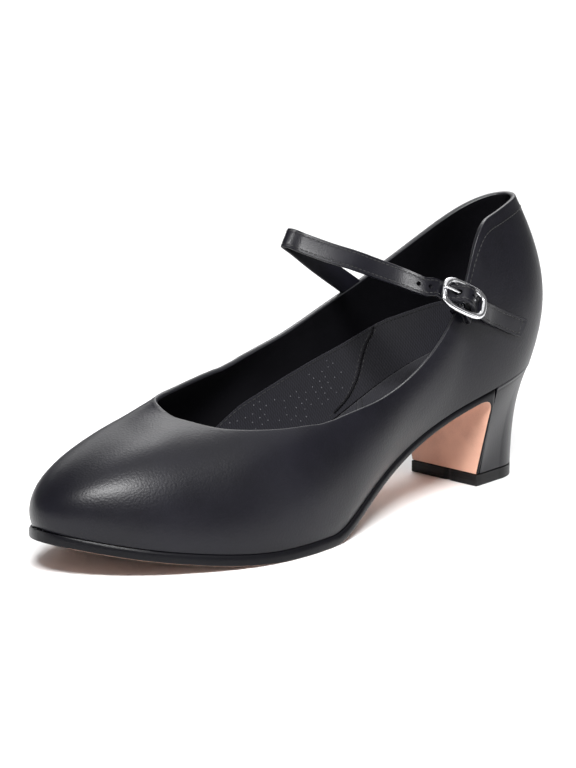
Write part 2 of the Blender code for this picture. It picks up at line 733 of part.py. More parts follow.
def rod(name, start, end, diameter, sides, material):
    """Round bar between two points, as a mesh."""
    start = Vector(start)
    end = Vector(end)
    work = bmesh.new()
    bmesh.ops.create_cone(work, cap_ends=True, segments=sides, radius1=diameter / 2, radius2=diameter / 2,
                          depth=(end - start).length)
    turn = (end - start).to_track_quat("Z", "Y").to_matrix().to_4x4()
    bmesh.ops.transform(work, matrix=turn, verts=work.verts)
    bmesh.ops.translate(work, vec=(start + end) / 2, verts=work.verts)
    mesh = bpy.data.meshes.new(name)
    work.to_mesh(mesh)
    work.free()
    piece = bpy.data.objects.new(name, mesh)
    piece.data.materials.append(material)
    SHOE.objects.link(piece)
    return piece


def hole_places(path):
    """Travel along the strap, and the places of its three holes: two before the buckle and the prong's."""
    centre, run = buckle_frame_axes()[0:2]
    gaps = np.linalg.norm(np.diff(path, axis=0), axis=1)
    travel = np.concatenate([[0], np.cumsum(gaps)])
    share = np.dot(path - centre, run)
    near = np.linalg.norm(path - centre, axis=1) < BUCKLE_LENGTH
    bar = travel[near][np.argmin(np.abs(share[near]))]
    return travel, [bar + HOLE_PITCH * (k + 0.35) for k in (-5, -4, 0)]


def make_strap():
    """Strap with its punched holes. The prong's hole is drawn open along the prong."""
    path, edges = strap_path()
    share = np.linspace(0, 1, STRAP_STEPS)
    widths = STRAP_ROOT_WIDTH + (STRAP_WIDTH - STRAP_ROOT_WIDTH) * np.clip(share / 0.6, 0, 1)
    slants = STRAP_TIP_SLANT * np.clip((share - 0.96) / 0.04, 0, 1)
    along_rim = rim_axes(STRAP_FOOT_TURN)[1]
    leave = unit(path[1] - path[0])
    drift = float(np.dot(along_rim, leave))
    slants += drift / math.sqrt(1 - drift * drift) * np.clip(1 - share / 0.05, 0, 1)
    strap = ribbon("strap", path, edges, widths, STRAP_THICKNESS, LEATHER, slants)
    travel, holes = hole_places(path)
    for number, at in enumerate(holes):
        point = np.array([np.interp(at, travel, path[:, k]) for k in range(3)])
        step = HOLE_DIAMETER
        tangent = unit([np.interp(at + step, travel, path[:, k]) - np.interp(at - step, travel, path[:, k])
                        for k in range(3)])
        edge = unit([np.interp(at, travel, edges[:, k]) for k in range(3)])
        normal = unit(np.cross(tangent, edge - np.dot(edge, tangent) * tangent))
        reach = normal * STRAP_THICKNESS * 1.2
        cut(strap, rod("hole_cutter_%d" % number, point - reach, point + reach, HOLE_DIAMETER, 12, LEATHER))
    centre, run, _, outward = buckle_frame_axes()
    level = outward * prong_level()
    slot = PRONG_DIAMETER + CLEARANCE * 5
    start = centre + level - run * BUCKLE_LENGTH * 0.36
    end = centre + level - run * BAR_DIAMETER * 0.6
    cut(strap, rod("prong_cutter", start, end, slot, 16, LEATHER))


def prong_level():
    """How far the prong lies outwards from the middle of the buckle."""
    return BAR_DIAMETER / 2 + CLEARANCE + PRONG_DIAMETER / 2


def make_buckle():
    """Oval ring with a bar across its middle."""
    centre, run, edge, outward = buckle_frame_axes()
    half_length = (BUCKLE_LENGTH - BUCKLE_BAND) / 2
    half_width = STRAP_WIDTH / 2 + BUCKLE_PLAY + BUCKLE_BAND / 2
    rings = []
    steps = 44
    for k in range(steps):
        angle = 2 * math.pi * k / steps
        cosine = math.copysign(abs(math.cos(angle)) ** BUCKLE_SQUARENESS, math.cos(angle))
        sine = math.copysign(abs(math.sin(angle)) ** BUCKLE_SQUARENESS, math.sin(angle))
        point = centre + run * half_length * cosine + edge * half_width * sine
        away = unit(run * cosine * half_width + edge * sine * half_length)
        ring = []
        for j in range(8):
            around = 2 * math.pi * (j + 0.5) / 8
            ring.append(point + away * math.cos(around) * BUCKLE_BAND / 2
                        + outward * math.sin(around) * BUCKLE_THICKNESS / 2)
        rings.append(np.array(ring))
    frame = loft("buckle_frame", rings, BUCKLE_METAL, closed_path=True)
    bar = rod("bar_former", centre - edge * half_width, centre + edge * half_width, BAR_DIAMETER, 12,
              BUCKLE_METAL)
    SHOE.objects.unlink(bar)
    CUTTERS.objects.link(bar)
    bar.hide_render = True
    bar.display_type = "WIRE"
    joined = frame.modifiers.new("bar", "BOOLEAN")
    joined.operation = "UNION"
    joined.solver = "EXACT"
    joined.object = bar


def make_prong():
    """Pin curled round the bar, with its point over the near side of the ring."""
    centre, run, edge, outward = buckle_frame_axes()
    radius = prong_level()
    route = []
    for angle in np.radians(np.arange(-150, 91, 20)):
        route.append(centre + run * radius * math.cos(angle) + outward * radius * math.sin(angle))
    rest = BUCKLE_THICKNESS / 2 + CLEARANCE + PRONG_DIAMETER / 2
    side = BUCKLE_LENGTH / 2 - BUCKLE_BAND / 2
    for share, level in ((-0.35, radius), (-0.7, rest), (-1.0, rest), (-1.12, rest)):
        route.append(centre + run * side * share + outward * level)
    route = np.array(route)
    tangents = np.gradient(route, axis=0)
    rings = []
    for point, tangent in zip(route, tangents):
        normal = unit(np.cross(edge, tangent))
        rings.append(np.array([point + PRONG_DIAMETER / 2 * (math.cos(a) * edge + math.sin(a) * normal)
                               for a in np.linspace(0, 2 * math.pi, 9)[:-1]]))
    loft("buckle_prong", rings, BUCKLE_METAL)


def make_anchor_tab():
    """Tab sewn inside the outer collar. It folds over the rim, hangs slack and wraps the buckle's bar."""
    centre, run, edge, outward = buckle_frame_axes()
    rim, rim_run, climb, rim_out = rim_axes(TAB_TURN)
    gap = CLEARANCE + TAB_THICKNESS / 2
    points = [upper_point(turn, height, -WALL - gap - CLEARANCE)[0] for turn, height in TAB_INSIDE]
    walls = [upper_normal(turn, height)[0] for turn, height in TAB_INSIDE]
    edges = [unit(rim_run - np.dot(rim_run, wall) * wall) for wall in walls]
    across = WALL / 2 + gap
    for angle in np.radians((165, 125, 90, 55, 15)):
        points.append(rim + rim_out * across * math.cos(angle) + climb * (across * 0.9) * math.sin(angle))
        edges.append(rim_run)
    for turn, height, stand_off, twist in TAB_FOLD:
        points.append(upper_point(turn, height, stand_off)[0])
        edges.append(rim_run * (1 - twist) + edge * twist)
    radius = BAR_DIAMETER / 2 + gap
    for angle in np.radians((-80, -110, -145, -180, -215, -250, -275)):
        points.append(centre + run * radius * math.cos(angle) + outward * radius * math.sin(angle))
        edges.append(edge)
    rows = open_spline(np.hstack([np.array(points), np.array(edges) * 0.01]), TAB_STEPS)
    tab = ribbon("anchor_tab", rows[:, 0:3], rows[:, 3:6], TAB_WIDTH, TAB_THICKNESS, LEATHER)
    half = PRONG_DIAMETER / 2 + CLEARANCE
    reach = radius + TAB_THICKNESS
    cut(tab, rod("slot_cutter", centre - edge * half, centre + edge * half, reach * 2, 24, LEATHER))


def start_scene():
    """Empty scene with one collection for the shoe and one for cutters."""
    for old in list(bpy.data.objects):
        bpy.data.objects.remove(old)
    shoe = bpy.data.collections.new("character_shoe")
    cutters = bpy.data.collections.new("cutters")
    bpy.context.scene.collection.children.link(shoe)
    bpy.context.scene.collection.children.link(cutters)
    return shoe, cutters


SHOE, CUTTERS = start_scene()
LEATHER = finish("black_leather", (0.012, 0.012, 0.014), 0.38)
SOLE_LEATHER = finish("tan_sole", (0.55, 0.31, 0.21), 0.6)
HEEL_COVER = finish("heel_cover", (0.012, 0.012, 0.014), 0.4)
LIFT_RUBBER = finish("lift_rubber", (0.015, 0.015, 0.016), 0.55)
SOCK_TEXTILE = finish("sock_textile", (0.03, 0.03, 0.035), 0.9)
BUCKLE_METAL = finish("buckle_metal", (0.8, 0.8, 0.82), 0.2, 1.0)

make_outsole()
make_heel()
make_top_lift()
make_upper()
make_insoles()
make_strap()
make_buckle()
make_prong()
make_anchor_tab()
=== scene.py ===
"""Black leather character shoe with a strap and a small silver buckle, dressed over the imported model."""
import math

import bmesh
import bpy
import numpy as np
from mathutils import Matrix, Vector


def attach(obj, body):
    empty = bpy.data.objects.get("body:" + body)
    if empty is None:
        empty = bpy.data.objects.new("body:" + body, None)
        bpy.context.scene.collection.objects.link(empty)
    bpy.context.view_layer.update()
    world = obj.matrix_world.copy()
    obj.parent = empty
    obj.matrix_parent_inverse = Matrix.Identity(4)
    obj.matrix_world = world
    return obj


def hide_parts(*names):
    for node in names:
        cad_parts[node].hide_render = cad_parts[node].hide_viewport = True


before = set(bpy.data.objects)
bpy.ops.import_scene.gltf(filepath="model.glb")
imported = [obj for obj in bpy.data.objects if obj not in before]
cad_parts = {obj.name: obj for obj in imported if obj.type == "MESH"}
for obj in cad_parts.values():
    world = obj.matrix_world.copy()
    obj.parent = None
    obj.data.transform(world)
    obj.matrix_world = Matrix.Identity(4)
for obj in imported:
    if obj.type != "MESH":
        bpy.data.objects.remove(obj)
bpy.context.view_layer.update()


# Camera, floor and studio light
# The shoe stands on a plain pale floor before a long lens, lit by four large soft panels
# and a soft sky. The camera's lens, place and aim are fitted to the photograph.
CAMERA_PLACE = (0.7796, -0.8715, 0.2958)
CAMERA_TARGET = (-0.00657, -0.09353, 0.050)
LENS = 141.6
FLOOR_HALF = 6.0
FLOOR_TONE = 0.90
FLOOR_ROUGHNESS = 0.9
SKY_ANGLE = 70
WORLD_LIGHT = 0.17
SKY_LIGHT = 0.9
BACKDROP_LIGHT = 1.0


def aim(thing, place_at, target):
    """Stands a camera or a light at a place, facing a target, and links it."""
    thing.location = place_at
    thing.rotation_euler = (Vector(target) - Vector(place_at)).to_track_quat("-Z", "Y").to_euler()
    bpy.context.scene.collection.objects.link(thing)


camera = bpy.data.objects.new("camera", bpy.data.cameras.new("camera"))
camera.data.lens = LENS
camera.data.clip_start = 0.05
camera.data.clip_end = 30
aim(camera, CAMERA_PLACE, CAMERA_TARGET)
bpy.context.scene.camera = camera

# name, place, target, width, height, watts
SOFT_PANELS = (
    ("panel_top", (0.52, -0.62, 0.88), (0.02, -0.19, 0.03), 0.60, 0.17, 21.0),
    ("panel_back", (-0.46, 0.28, 0.95), (0.0, -0.17, 0.045), 0.40, 0.30, 3.2),
    ("panel_right", (1.45, 0.55, 0.50), (0.0, -0.03, 0.06), 0.20, 0.90, 1.0),
    ("panel_far", (-2.4, 2.4, 1.6), (-2.4, 2.4, 0.0), 3.4, 3.4, 84.0),
)
for name, spot, target, wide, tall, watts in SOFT_PANELS:
    panel = bpy.data.lights.new(name, "AREA")
    panel.shape = "RECTANGLE"
    panel.size = wide
    panel.size_y = tall
    panel.energy = watts
    aim(bpy.data.objects.new(name, panel), spot, target)
sun = bpy.data.lights.new("soft_sky", "SUN")
sun.energy = SKY_LIGHT
sun.angle = math.radians(SKY_ANGLE)
aim(bpy.data.objects.new("soft_sky", sun), (0.15, 0.25, 2.0), (0.0, -0.09, 0.0))
world = bpy.data.worlds.new("studio")
world.use_nodes = True
world.node_tree.nodes["Background"].inputs["Color"].default_value = (1, 1, 1, 1)
sky = world.node_tree
backdrop = sky.nodes.new("ShaderNodeBackground")
backdrop.inputs["Strength"].default_value = BACKDROP_LIGHT
seen = sky.nodes.new("ShaderNodeLightPath")
choose = sky.nodes.new("ShaderNodeMixShader")
sky.nodes["Background"].inputs["Strength"].default_value = WORLD_LIGHT
sky.links.new(seen.outputs["Is Camera Ray"], choose.inputs[0])
sky.links.new(sky.nodes["Background"].outputs[0], choose.inputs[1])
sky.links.new(backdrop.outputs[0], choose.inputs[2])
sky.links.new(choose.outputs[0], sky.nodes["World Output"].inputs[0])
bpy.context.scene.world = world
bpy.context.scene.view_settings.view_transform = "Standard"

floor_mesh = bpy.data.meshes.new("floor")
floor_mesh.from_pydata([(-FLOOR_HALF, -FLOOR_HALF, 0), (FLOOR_HALF, -FLOOR_HALF, 0),
                        (FLOOR_HALF, FLOOR_HALF, 0), (-FLOOR_HALF, FLOOR_HALF, 0)], [], [(0, 1, 2, 3)])
floor = bpy.data.objects.new("floor", floor_mesh)
bpy.context.scene.collection.objects.link(floor)
pale = bpy.data.materials.new("pale_floor")
pale.use_nodes = True
pale_shader = pale.node_tree.nodes["Principled BSDF"]
pale_shader.inputs["Base Color"].default_value = (FLOOR_TONE, FLOOR_TONE, FLOOR_TONE, 1)
pale_shader.inputs["Roughness"].default_value = FLOOR_ROUGHNESS
floor_mesh.materials.append(pale)


# Upper
# One piece of smooth black leather drawn over the last, its top edge folded in, closed with cement.
# The skin has a fine pore grain, a soft semi-gloss and shallow creases where the forepart bends.
LENGTH = 0.246
BALL_WIDTH = 0.082
COLLAR_HEIGHT = 0.0635
WALL = 0.002
CLEARANCE = 0.0003
HEEL_AXIS = 0.030
HEEL_HEIGHT = 0.047
TREAD_BACK = 0.1445
TREAD_FRONT = 0.170
TOE_SPRING = 0.0125
SPRING_POWER = 1.7
WAIST_THICKNESS = 0.003
TREAD_THICKNESS = 0.004
BREAST = 0.0435
RING_STEPS = 420
WALL_STEPS = 64
RIM_STEPS = 8
LINING_STEPS = 40
RIM_RISE = 0.0005
LEATHER_COLOUR = (0.0050, 0.0048, 0.0078)
# Colour of the turned top edge: lighter than the leather, a painted highlight along the rim
TURNED_EDGE_HIGHLIGHT_COLOUR = (0.009, 0.009, 0.012)
FACING_COLOUR = (0.0035, 0.0034, 0.0045)
LEATHER_GLOSS = 0.37
GRAIN_PER_METRE = 1200.0

# Underside of the sole behind the tread: share of the way back, share of the heel height
SHANK = (
    # back, height
    (0.000, 0.000),
    (0.045, 0.024),
    (0.100, 0.093),
    (0.170, 0.198),
    (0.310, 0.394),
    (0.446, 0.564),
    (0.585, 0.704),
    (0.703, 0.800),
    (0.860, 0.910),
    (1.000, 1.010),
)

# Sections round the last: along in shares of LENGTH, across of BALL_WIDTH, the rest of COLLAR_HEIGHT
SECTIONS = (
    # name, foot_along, foot_across, top_along, top_across, top_up, low_out, low_up, high_out, high_down
    ("back seam", 0.024, 0.000, 0.033, 0.000, 0.982, 0.14, 0.30, 0.20, 0.42),
    ("back curve", 0.037, 0.159, 0.054, 0.107, 1.003, 0.12, 0.31, 0.22, 0.42),
    ("counter", 0.073, 0.262, 0.098, 0.180, 1.022, 0.10, 0.32, 0.22, 0.42),
    ("counter front", 0.122, 0.311, 0.150, 0.228, 1.030, 0.09, 0.32, 0.17, 0.42),
    ("collar corner", 0.171, 0.320, 0.193, 0.265, 1.008, 0.07, 0.30, 0.11, 0.40),
    ("collar drop", 0.211, 0.315, 0.220, 0.283, 0.881, 0.06, 0.27, 0.08, 0.31),
    ("buckle", 0.248, 0.306, 0.238, 0.295, 0.741, 0.06, 0.24, 0.06, 0.25),
    ("below buckle", 0.289, 0.301, 0.268, 0.312, 0.604, 0.06, 0.20, 0.05, 0.19),
    ("waist", 0.341, 0.305, 0.317, 0.328, 0.490, 0.06, 0.17, 0.05, 0.16),
    ("shank", 0.411, 0.332, 0.386, 0.343, 0.443, 0.06, 0.16, 0.05, 0.14),
    ("arch", 0.492, 0.396, 0.467, 0.360, 0.494, 0.06, 0.17, 0.07, 0.14),
    ("ball back", 0.581, 0.468, 0.557, 0.366, 0.610, 0.05, 0.19, 0.11, 0.13),
    ("ball", 0.671, 0.497, 0.642, 0.345, 0.638, 0.04, 0.20, 0.16, 0.11),
    ("ball front", 0.760, 0.460, 0.699, 0.293, 0.653, 0.03, 0.20, 0.19, 0.11),
    ("toe side", 0.846, 0.359, 0.740, 0.201, 0.665, 0.02, 0.21, 0.25, 0.11),
    ("toe corner", 0.927, 0.213, 0.764, 0.073, 0.690, 0.04, 0.27, 0.36, 0.11),
    ("toe tip", 0.992, -0.073, 0.772, -0.018, 0.716, 0.09, 0.31, 0.40, 0.11),
    ("inner toe corner", 0.974, -0.222, 0.768, -0.104, 0.758, 0.10, 0.31, 0.32, 0.14),
    ("inner toe side", 0.928, -0.341, 0.736, -0.180, 0.784, 0.08, 0.28, 0.18, 0.17),
    ("inner ball front", 0.866, -0.427, 0.681, -0.238, 0.797, 0.04, 0.26, 0.16, 0.19),
    ("inner ball", 0.785, -0.473, 0.618, -0.276, 0.819, 0.03, 0.25, 0.16, 0.19),
    ("inner ball back", 0.699, -0.456, 0.557, -0.293, 0.828, 0.04, 0.24, 0.16, 0.20),
    ("inner arch", 0.606, -0.366, 0.492, -0.295, 0.779, 0.05, 0.25, 0.11, 0.22),
    ("inner shank", 0.508, -0.278, 0.431, -0.295, 0.738, 0.06, 0.27, 0.07, 0.24),
    ("inner waist", 0.411, -0.241, 0.366, -0.296, 0.724, 0.09, 0.27, 0.05, 0.24),
    ("strap root", 0.317, -0.254, 0.301, -0.293, 0.725, 0.09, 0.27, 0.06, 0.25),
    ("inner quarter", 0.228, -0.288, 0.228, -0.272, 0.767, 0.08, 0.28, 0.08, 0.31),
    ("inner counter", 0.138, -0.305, 0.146, -0.224, 0.860, 0.08, 0.30, 0.11, 0.38),
    ("inner back", 0.073, -0.262, 0.085, -0.161, 0.941, 0.10, 0.31, 0.18, 0.42),
    ("inner back curve", 0.037, -0.159, 0.049, -0.085, 0.975, 0.12, 0.30, 0.20, 0.42),
)

# Soft creases and swells: centre turn, centre height, turn reach, height reach, lean, rise in metres
SOFT_FORMS = (
    (0.345, 0.62, 0.020, 0.16, 0.30, -0.00022),
    (0.375, 0.66, 0.016, 0.14, 0.35, -0.00016),
    (0.360, 0.64, 0.014, 0.14, 0.32, 0.00016),
    (0.600, 0.70, 0.020, 0.13, -0.30, -0.00020),
    (0.625, 0.66, 0.018, 0.13, -0.30, 0.00014),
    (0.520, 0.80, 0.040, 0.07, 0.0, -0.00018),
    (0.130, 0.42, 0.020, 0.20, 0.20, -0.00030),
    (0.160, 0.38, 0.018, 0.20, 0.25, 0.00018),
    (0.200, 0.50, 0.022, 0.20, 0.30, -0.00022),
    (0.070, 0.62, 0.030, 0.12, 0.0, -0.00018),
    (0.800, 0.45, 0.030, 0.20, -0.2, -0.00025),
    (0.760, 0.50, 0.020, 0.18, -0.2, 0.00015),
    (0.930, 0.40, 0.030, 0.25, 0.0, -0.00016),
)


def place(along, across, up):
    """World point from a place on the shoe."""
    return np.stack(np.broadcast_arrays(across, HEEL_AXIS - np.asarray(along), up), axis=-1)


def monotone(knots, values, at):
    """Smooth curve through rows that never swings past them."""
    knots = np.asarray(knots, float)
    values = np.asarray(values, float)
    steps = np.diff(knots)
    slopes = np.diff(values) / steps
    tangents = np.zeros(len(knots))
    for k in range(1, len(knots) - 1):
        if slopes[k - 1] * slopes[k] > 0:
            before = 2 * steps[k] + steps[k - 1]
            after = steps[k] + 2 * steps[k - 1]
            tangents[k] = (before + after) / (before / slopes[k - 1] + after / slopes[k])
    tangents[-1] = slopes[-1]
    at = np.asarray(at, float)
    k = np.clip(np.searchsorted(knots, at, side="right") - 1, 0, len(steps) - 1)
    t = (at - knots[k]) / steps[k]
    start = (1 + 2 * t) * (1 - t) ** 2 * values[k] + t * (1 - t) ** 2 * steps[k] * tangents[k]
    end = t * t * (3 - 2 * t) * values[k + 1] - t * t * (1 - t) * steps[k] * tangents[k + 1]
    return start + end


def closed_spline(knots, rows, at):
    """Curve with smooth curvature through rows that closes on itself. The last knot is the first row."""
    steps = np.diff(knots)
    count = len(steps)
    slopes = (np.roll(rows, -1, axis=0) - rows) / steps[:, None]
    system = np.zeros((count, count))
    for k in range(count):
        system[k, k - 1] += steps[k - 1]
        system[k, k] += 2 * (steps[k - 1] + steps[k])
        system[k, (k + 1) % count] += steps[k]
    bends = np.linalg.solve(system, 6 * (slopes - np.roll(slopes, 1, axis=0)))
    at = np.mod(at, knots[-1])
    k = np.clip(np.searchsorted(knots, at, side="right") - 1, 0, count - 1)
    following = (k + 1) % count
    step = steps[k][:, None]
    near = (np.asarray(knots)[k + 1] - at)[:, None]
    far = (at - np.asarray(knots)[k])[:, None]
    curve = (bends[k] * near ** 3 + bends[following] * far ** 3) / (6 * step)
    curve += (rows[k] / step - bends[k] * step / 6) * near
    return curve + (rows[following] / step - bends[following] * step / 6) * far


def underside(along):
    """Height of the sole's lower face: shank, flat tread and toe spring."""
    along = np.asarray(along, float)
    back = np.clip((TREAD_BACK - along) / TREAD_BACK, 0, 1)
    shares = np.array(SHANK)
    shank = HEEL_HEIGHT * monotone(shares[:, 0], shares[:, 1], back)
    front = np.clip((along - TREAD_FRONT) / (LENGTH - TREAD_FRONT), 0, None)
    return shank + TOE_SPRING * front ** SPRING_POWER


def sole_thickness(along):
    """Thin waist that grows to the full forepart over the ball."""
    blend = np.clip((np.asarray(along, float) - BREAST) / (TREAD_BACK - BREAST), 0, 1)
    return WAIST_THICKNESS + (TREAD_THICKNESS - WAIST_THICKNESS) * blend ** 2 * (3 - 2 * blend)


def floor_height(along):
    """Height of the sole's upper face, which carries upper and sock."""
    return underside(along) + sole_thickness(along)


def section_rows():
    """Section table in metres: foot and top points and the handles between them."""
    table = np.array([row[1:] for row in SECTIONS])
    foot = table[:, 0:2] * (LENGTH, BALL_WIDTH)
    top = table[:, 2:4] * (LENGTH, BALL_WIDTH)
    rise = table[:, 4:5] * COLLAR_HEIGHT
    handles = table[:, 5:9] * COLLAR_HEIGHT
    rows = np.hstack([foot, top, rise, handles])
    following = np.roll(rows, -1, axis=0)
    middle = (foot + top) / 2
    middle_next = (following[:, 0:2] + following[:, 2:4]) / 2
    knots = np.concatenate([[0], np.cumsum(np.linalg.norm(middle_next - middle, axis=1))])
    return knots / knots[-1], rows


KNOTS, ROWS = section_rows()


def foot_line(turn):
    """Feather line of the upper, as along and across, with its outward direction."""
    at = np.atleast_1d(turn)
    points = closed_spline(KNOTS, ROWS, at)[:, 0:2]
    step = 0.001
    ahead = closed_spline(KNOTS, ROWS, at + step)[:, 0:2]
    behind = closed_spline(KNOTS, ROWS, at - step)[:, 0:2]
    run = ahead - behind
    outward = np.stack([-run[:, 1], run[:, 0]], axis=1)
    return points, outward / np.linalg.norm(outward, axis=1)[:, None]


def upper_surface(turn, height):
    """Outer face of the upper: turn goes round the ring, height from 0 at the sole to 1 at the top."""
    turn = np.atleast_1d(np.asarray(turn, float))
    height = np.atleast_1d(np.asarray(height, float))
    turn, height = np.broadcast_arrays(turn, height)
    rows = closed_spline(KNOTS, ROWS, turn)
    foot, outward = foot_line(turn)
    outward = np.stack([outward[:, 1], -outward[:, 0], np.zeros(len(turn))], axis=1)
    upward = np.array([0, 0, 1.0])
    low = place(foot[:, 0], foot[:, 1], floor_height(foot[:, 0]) + CLEARANCE)
    high = place(rows[:, 2], rows[:, 3], floor_height(rows[:, 2]) + rows[:, 4])
    low_handle = low + outward * rows[:, 5:6] + upward * rows[:, 6:7]
    high_handle = high + outward * rows[:, 7:8] - upward * rows[:, 8:9]
    t = height[:, None]
    return ((1 - t) ** 3 * low + 3 * t * (1 - t) ** 2 * low_handle
            + 3 * t * t * (1 - t) * high_handle + t ** 3 * high)


def upper_normal(turn, height):
    """Outward direction of the upper's face."""
    turn = np.atleast_1d(np.asarray(turn, float))
    height = np.atleast_1d(np.asarray(height, float))
    turn, height = np.broadcast_arrays(turn, height)
    step = 0.002
    round_run = upper_surface(turn + step, height) - upper_surface(turn - step, height)
    low = np.clip(height - step, 0, 1)
    high = np.clip(height + step, 0, 1)
    up_run = upper_surface(turn, high) - upper_surface(turn, low)
    normal = np.cross(up_run, round_run)
    return normal / np.linalg.norm(normal, axis=1)[:, None]


def upper_point(turn, height, outward):
    """A point at a distance outwards from the upper's outer face."""
    return upper_surface(turn, height) + outward * upper_normal(turn, height)


def unit(vector):
    """Vector of length one."""
    vector = np.asarray(vector, float)
    return vector / np.linalg.norm(vector)


def soft_relief(turn, height):
    """Rise of the leather over the last where creases and swells lie."""
    turn, height = np.broadcast_arrays(np.asarray(turn, float), np.asarray(height, float))
    rise = np.zeros(turn.shape)
    for at_turn, at_height, turn_reach, height_reach, lean, tall in SOFT_FORMS:
        off = (turn - at_turn + 0.5) % 1.0 - 0.5 - lean * (height - at_height) * 0.1
        up = (height - at_height) / height_reach
        rise = rise + tall * np.exp(-(off / turn_reach) ** 2 - up ** 2)
    return rise


class Wire:
    """A value in a finish. Arithmetic on it adds the nodes that work it out."""

    def __init__(self, material, socket):
        self.material = material
        self.socket = socket

    def sum_of(self, operation, *terms):
        return node(self.material, "ShaderNodeMath", {"operation": operation}, dict(enumerate(terms)))

    def __add__(self, other):
        return self.sum_of("ADD", self, other)

    __radd__ = __add__

    def __sub__(self, other):
        return self.sum_of("SUBTRACT", self, other)

    def __rsub__(self, other):
        return self.sum_of("SUBTRACT", other, self)

    def __mul__(self, other):
        return self.sum_of("MULTIPLY", self, other)

    __rmul__ = __mul__

    def __pow__(self, other):
        return self.sum_of("POWER", self, other)


def node(material, kind, settings=None, inputs=None, output=0):
    """Adds a node, sets it, joins its sockets and returns one of its outputs as a Wire."""
    tree = material.node_tree
    made = tree.nodes.new(kind)
    for name, value in (settings or {}).items():
        if name == "stops":
            ramp = made.color_ramp
            while len(ramp.elements) < len(value):
                ramp.elements.new(1.0)
            for element, (position, colour) in zip(ramp.elements, value):
                element.position = position
                element.color = (*colour, 1)
        else:
            setattr(made, name, value)
    for name, value in (inputs or {}).items():
        if isinstance(value, Wire):
            tree.links.new(value.socket, made.inputs[name])
        else:
            made.inputs[name].default_value = value
    return Wire(material, made.outputs[output])


def start_finish(name):
    """New material with its shader and an Object coordinate."""
    material = bpy.data.materials.new(name)
    material.use_nodes = True
    shader = material.node_tree.nodes["Principled BSDF"]
    spot = node(material, "ShaderNodeTexCoord", output="Object")
    return material, shader, spot


def join(material, wire, socket):
    """Leads a wire into one of the shader's sockets."""
    material.node_tree.links.new(wire.socket, socket)


def grey(value):
    """Colour with its three parts equal."""
    return (value, value, value)


def leather_finish(name, colour, gloss, grain, scuff=0.05, shine=0.26):
    """Smooth pigmented leather: pores in the bump, a faint clouding in gloss and colour."""
    material, shader, spot = start_finish(name)
    cloud = node(material, "ShaderNodeTexNoise", None, {"Vector": spot, "Scale": 42.0, "Detail": 4.0})
    fine = node(material, "ShaderNodeTexNoise", None, {"Vector": spot, "Scale": grain * 1.7, "Detail": 3.0})
    pores = node(material, "ShaderNodeTexVoronoi", {"feature": "SMOOTH_F1"},
                 {"Vector": spot, "Scale": grain, "Smoothness": 0.6, "Randomness": 0.9})
    dark = tuple(part * 0.82 for part in colour)
    light = tuple(part * 1.22 for part in colour)
    tone = node(material, "ShaderNodeValToRGB", {"stops": ((0.32, dark), (0.7, light))}, {"Fac": cloud})
    join(material, tone, shader.inputs["Base Color"])
    join(material, gloss + (cloud - 0.5) * scuff * 2 + (fine - 0.5) * 0.08, shader.inputs["Roughness"])
    grain_height = pores * 0.75 + fine * 0.35
    bump = node(material, "ShaderNodeBump", None,
                {"Strength": 0.42, "Distance": 0.00013, "Height": grain_height}, "Normal")
    join(material, bump, shader.inputs["Normal"])
    shader.inputs["Specular IOR Level"].default_value = shine
    return material


def add_mesh(name, vertices, faces, material, kinds=None, sharp=40.0):
    """Closed piece with smooth faces, riding on the shoe. kinds gives a material number for each face."""
    mesh = bpy.data.meshes.new(name)
    mesh.from_pydata([tuple(v) for v in vertices], [], faces)
    materials = material if isinstance(material, (list, tuple)) else [material]
    for one in materials:
        mesh.materials.append(one)
    if kinds is not None:
        mesh.polygons.foreach_set("material_index", kinds)
    work = bmesh.new()
    work.from_mesh(mesh)
    bmesh.ops.remove_doubles(work, verts=work.verts, dist=0.0000005)
    bmesh.ops.recalc_face_normals(work, faces=work.faces)
    work.to_mesh(mesh)
    work.free()
    mesh.shade_smooth()
    mesh.set_sharp_from_angle(angle=math.radians(sharp))
    piece = bpy.data.objects.new(name, mesh)
    bpy.context.scene.collection.objects.link(piece)
    return piece


def through_rings(rings, closed_path=False):
    """Vertices and faces of a skin through equal rings, with the ring and side of each face."""
    count = len(rings[0])
    vertices = np.vstack(rings)
    faces = []
    places = []
    bands = len(rings) if closed_path else len(rings) - 1
    for k in range(bands):
        here = k * count
        there = (k + 1) % len(rings) * count
        for j in range(count):
            after = (j + 1) % count
            faces.append((here + j, here + after, there + after, there + j))
            places.append((k, j))
    if not closed_path:
        faces.append(tuple(range(count)))
        faces.append(tuple(len(vertices) - count + j for j in range(count)))
        places += [(0, -1), (bands - 1, -1)]
    return vertices, faces, places


def ring_piece(name, rings, material, closed_path=False, kind_of=None, sharp=40.0):
    """Piece with a skin through equal rings. kind_of gives a face's material from its ring and side."""
    vertices, faces, places = through_rings(rings, closed_path)
    kinds = [kind_of(k, j) for k, j in places] if kind_of else None
    return add_mesh(name, vertices, faces, material, kinds, sharp)


black_leather = leather_finish("black_leather", LEATHER_COLOUR, LEATHER_GLOSS, GRAIN_PER_METRE)
# The turned edge is really glossier than the skin; its lighter colour is a painted highlight along the rim.
turned_edge_highlight = leather_finish("turned_edge_highlight", TURNED_EDGE_HIGHLIGHT_COLOUR, 0.32, 2200.0, scuff=0.02, shine=0.5)
facing_leather = leather_finish("facing_leather", FACING_COLOUR, 0.55, 1900.0, shine=0.12)
LEATHER, FACING, TURNED_EDGE_HIGHLIGHT = range(3)

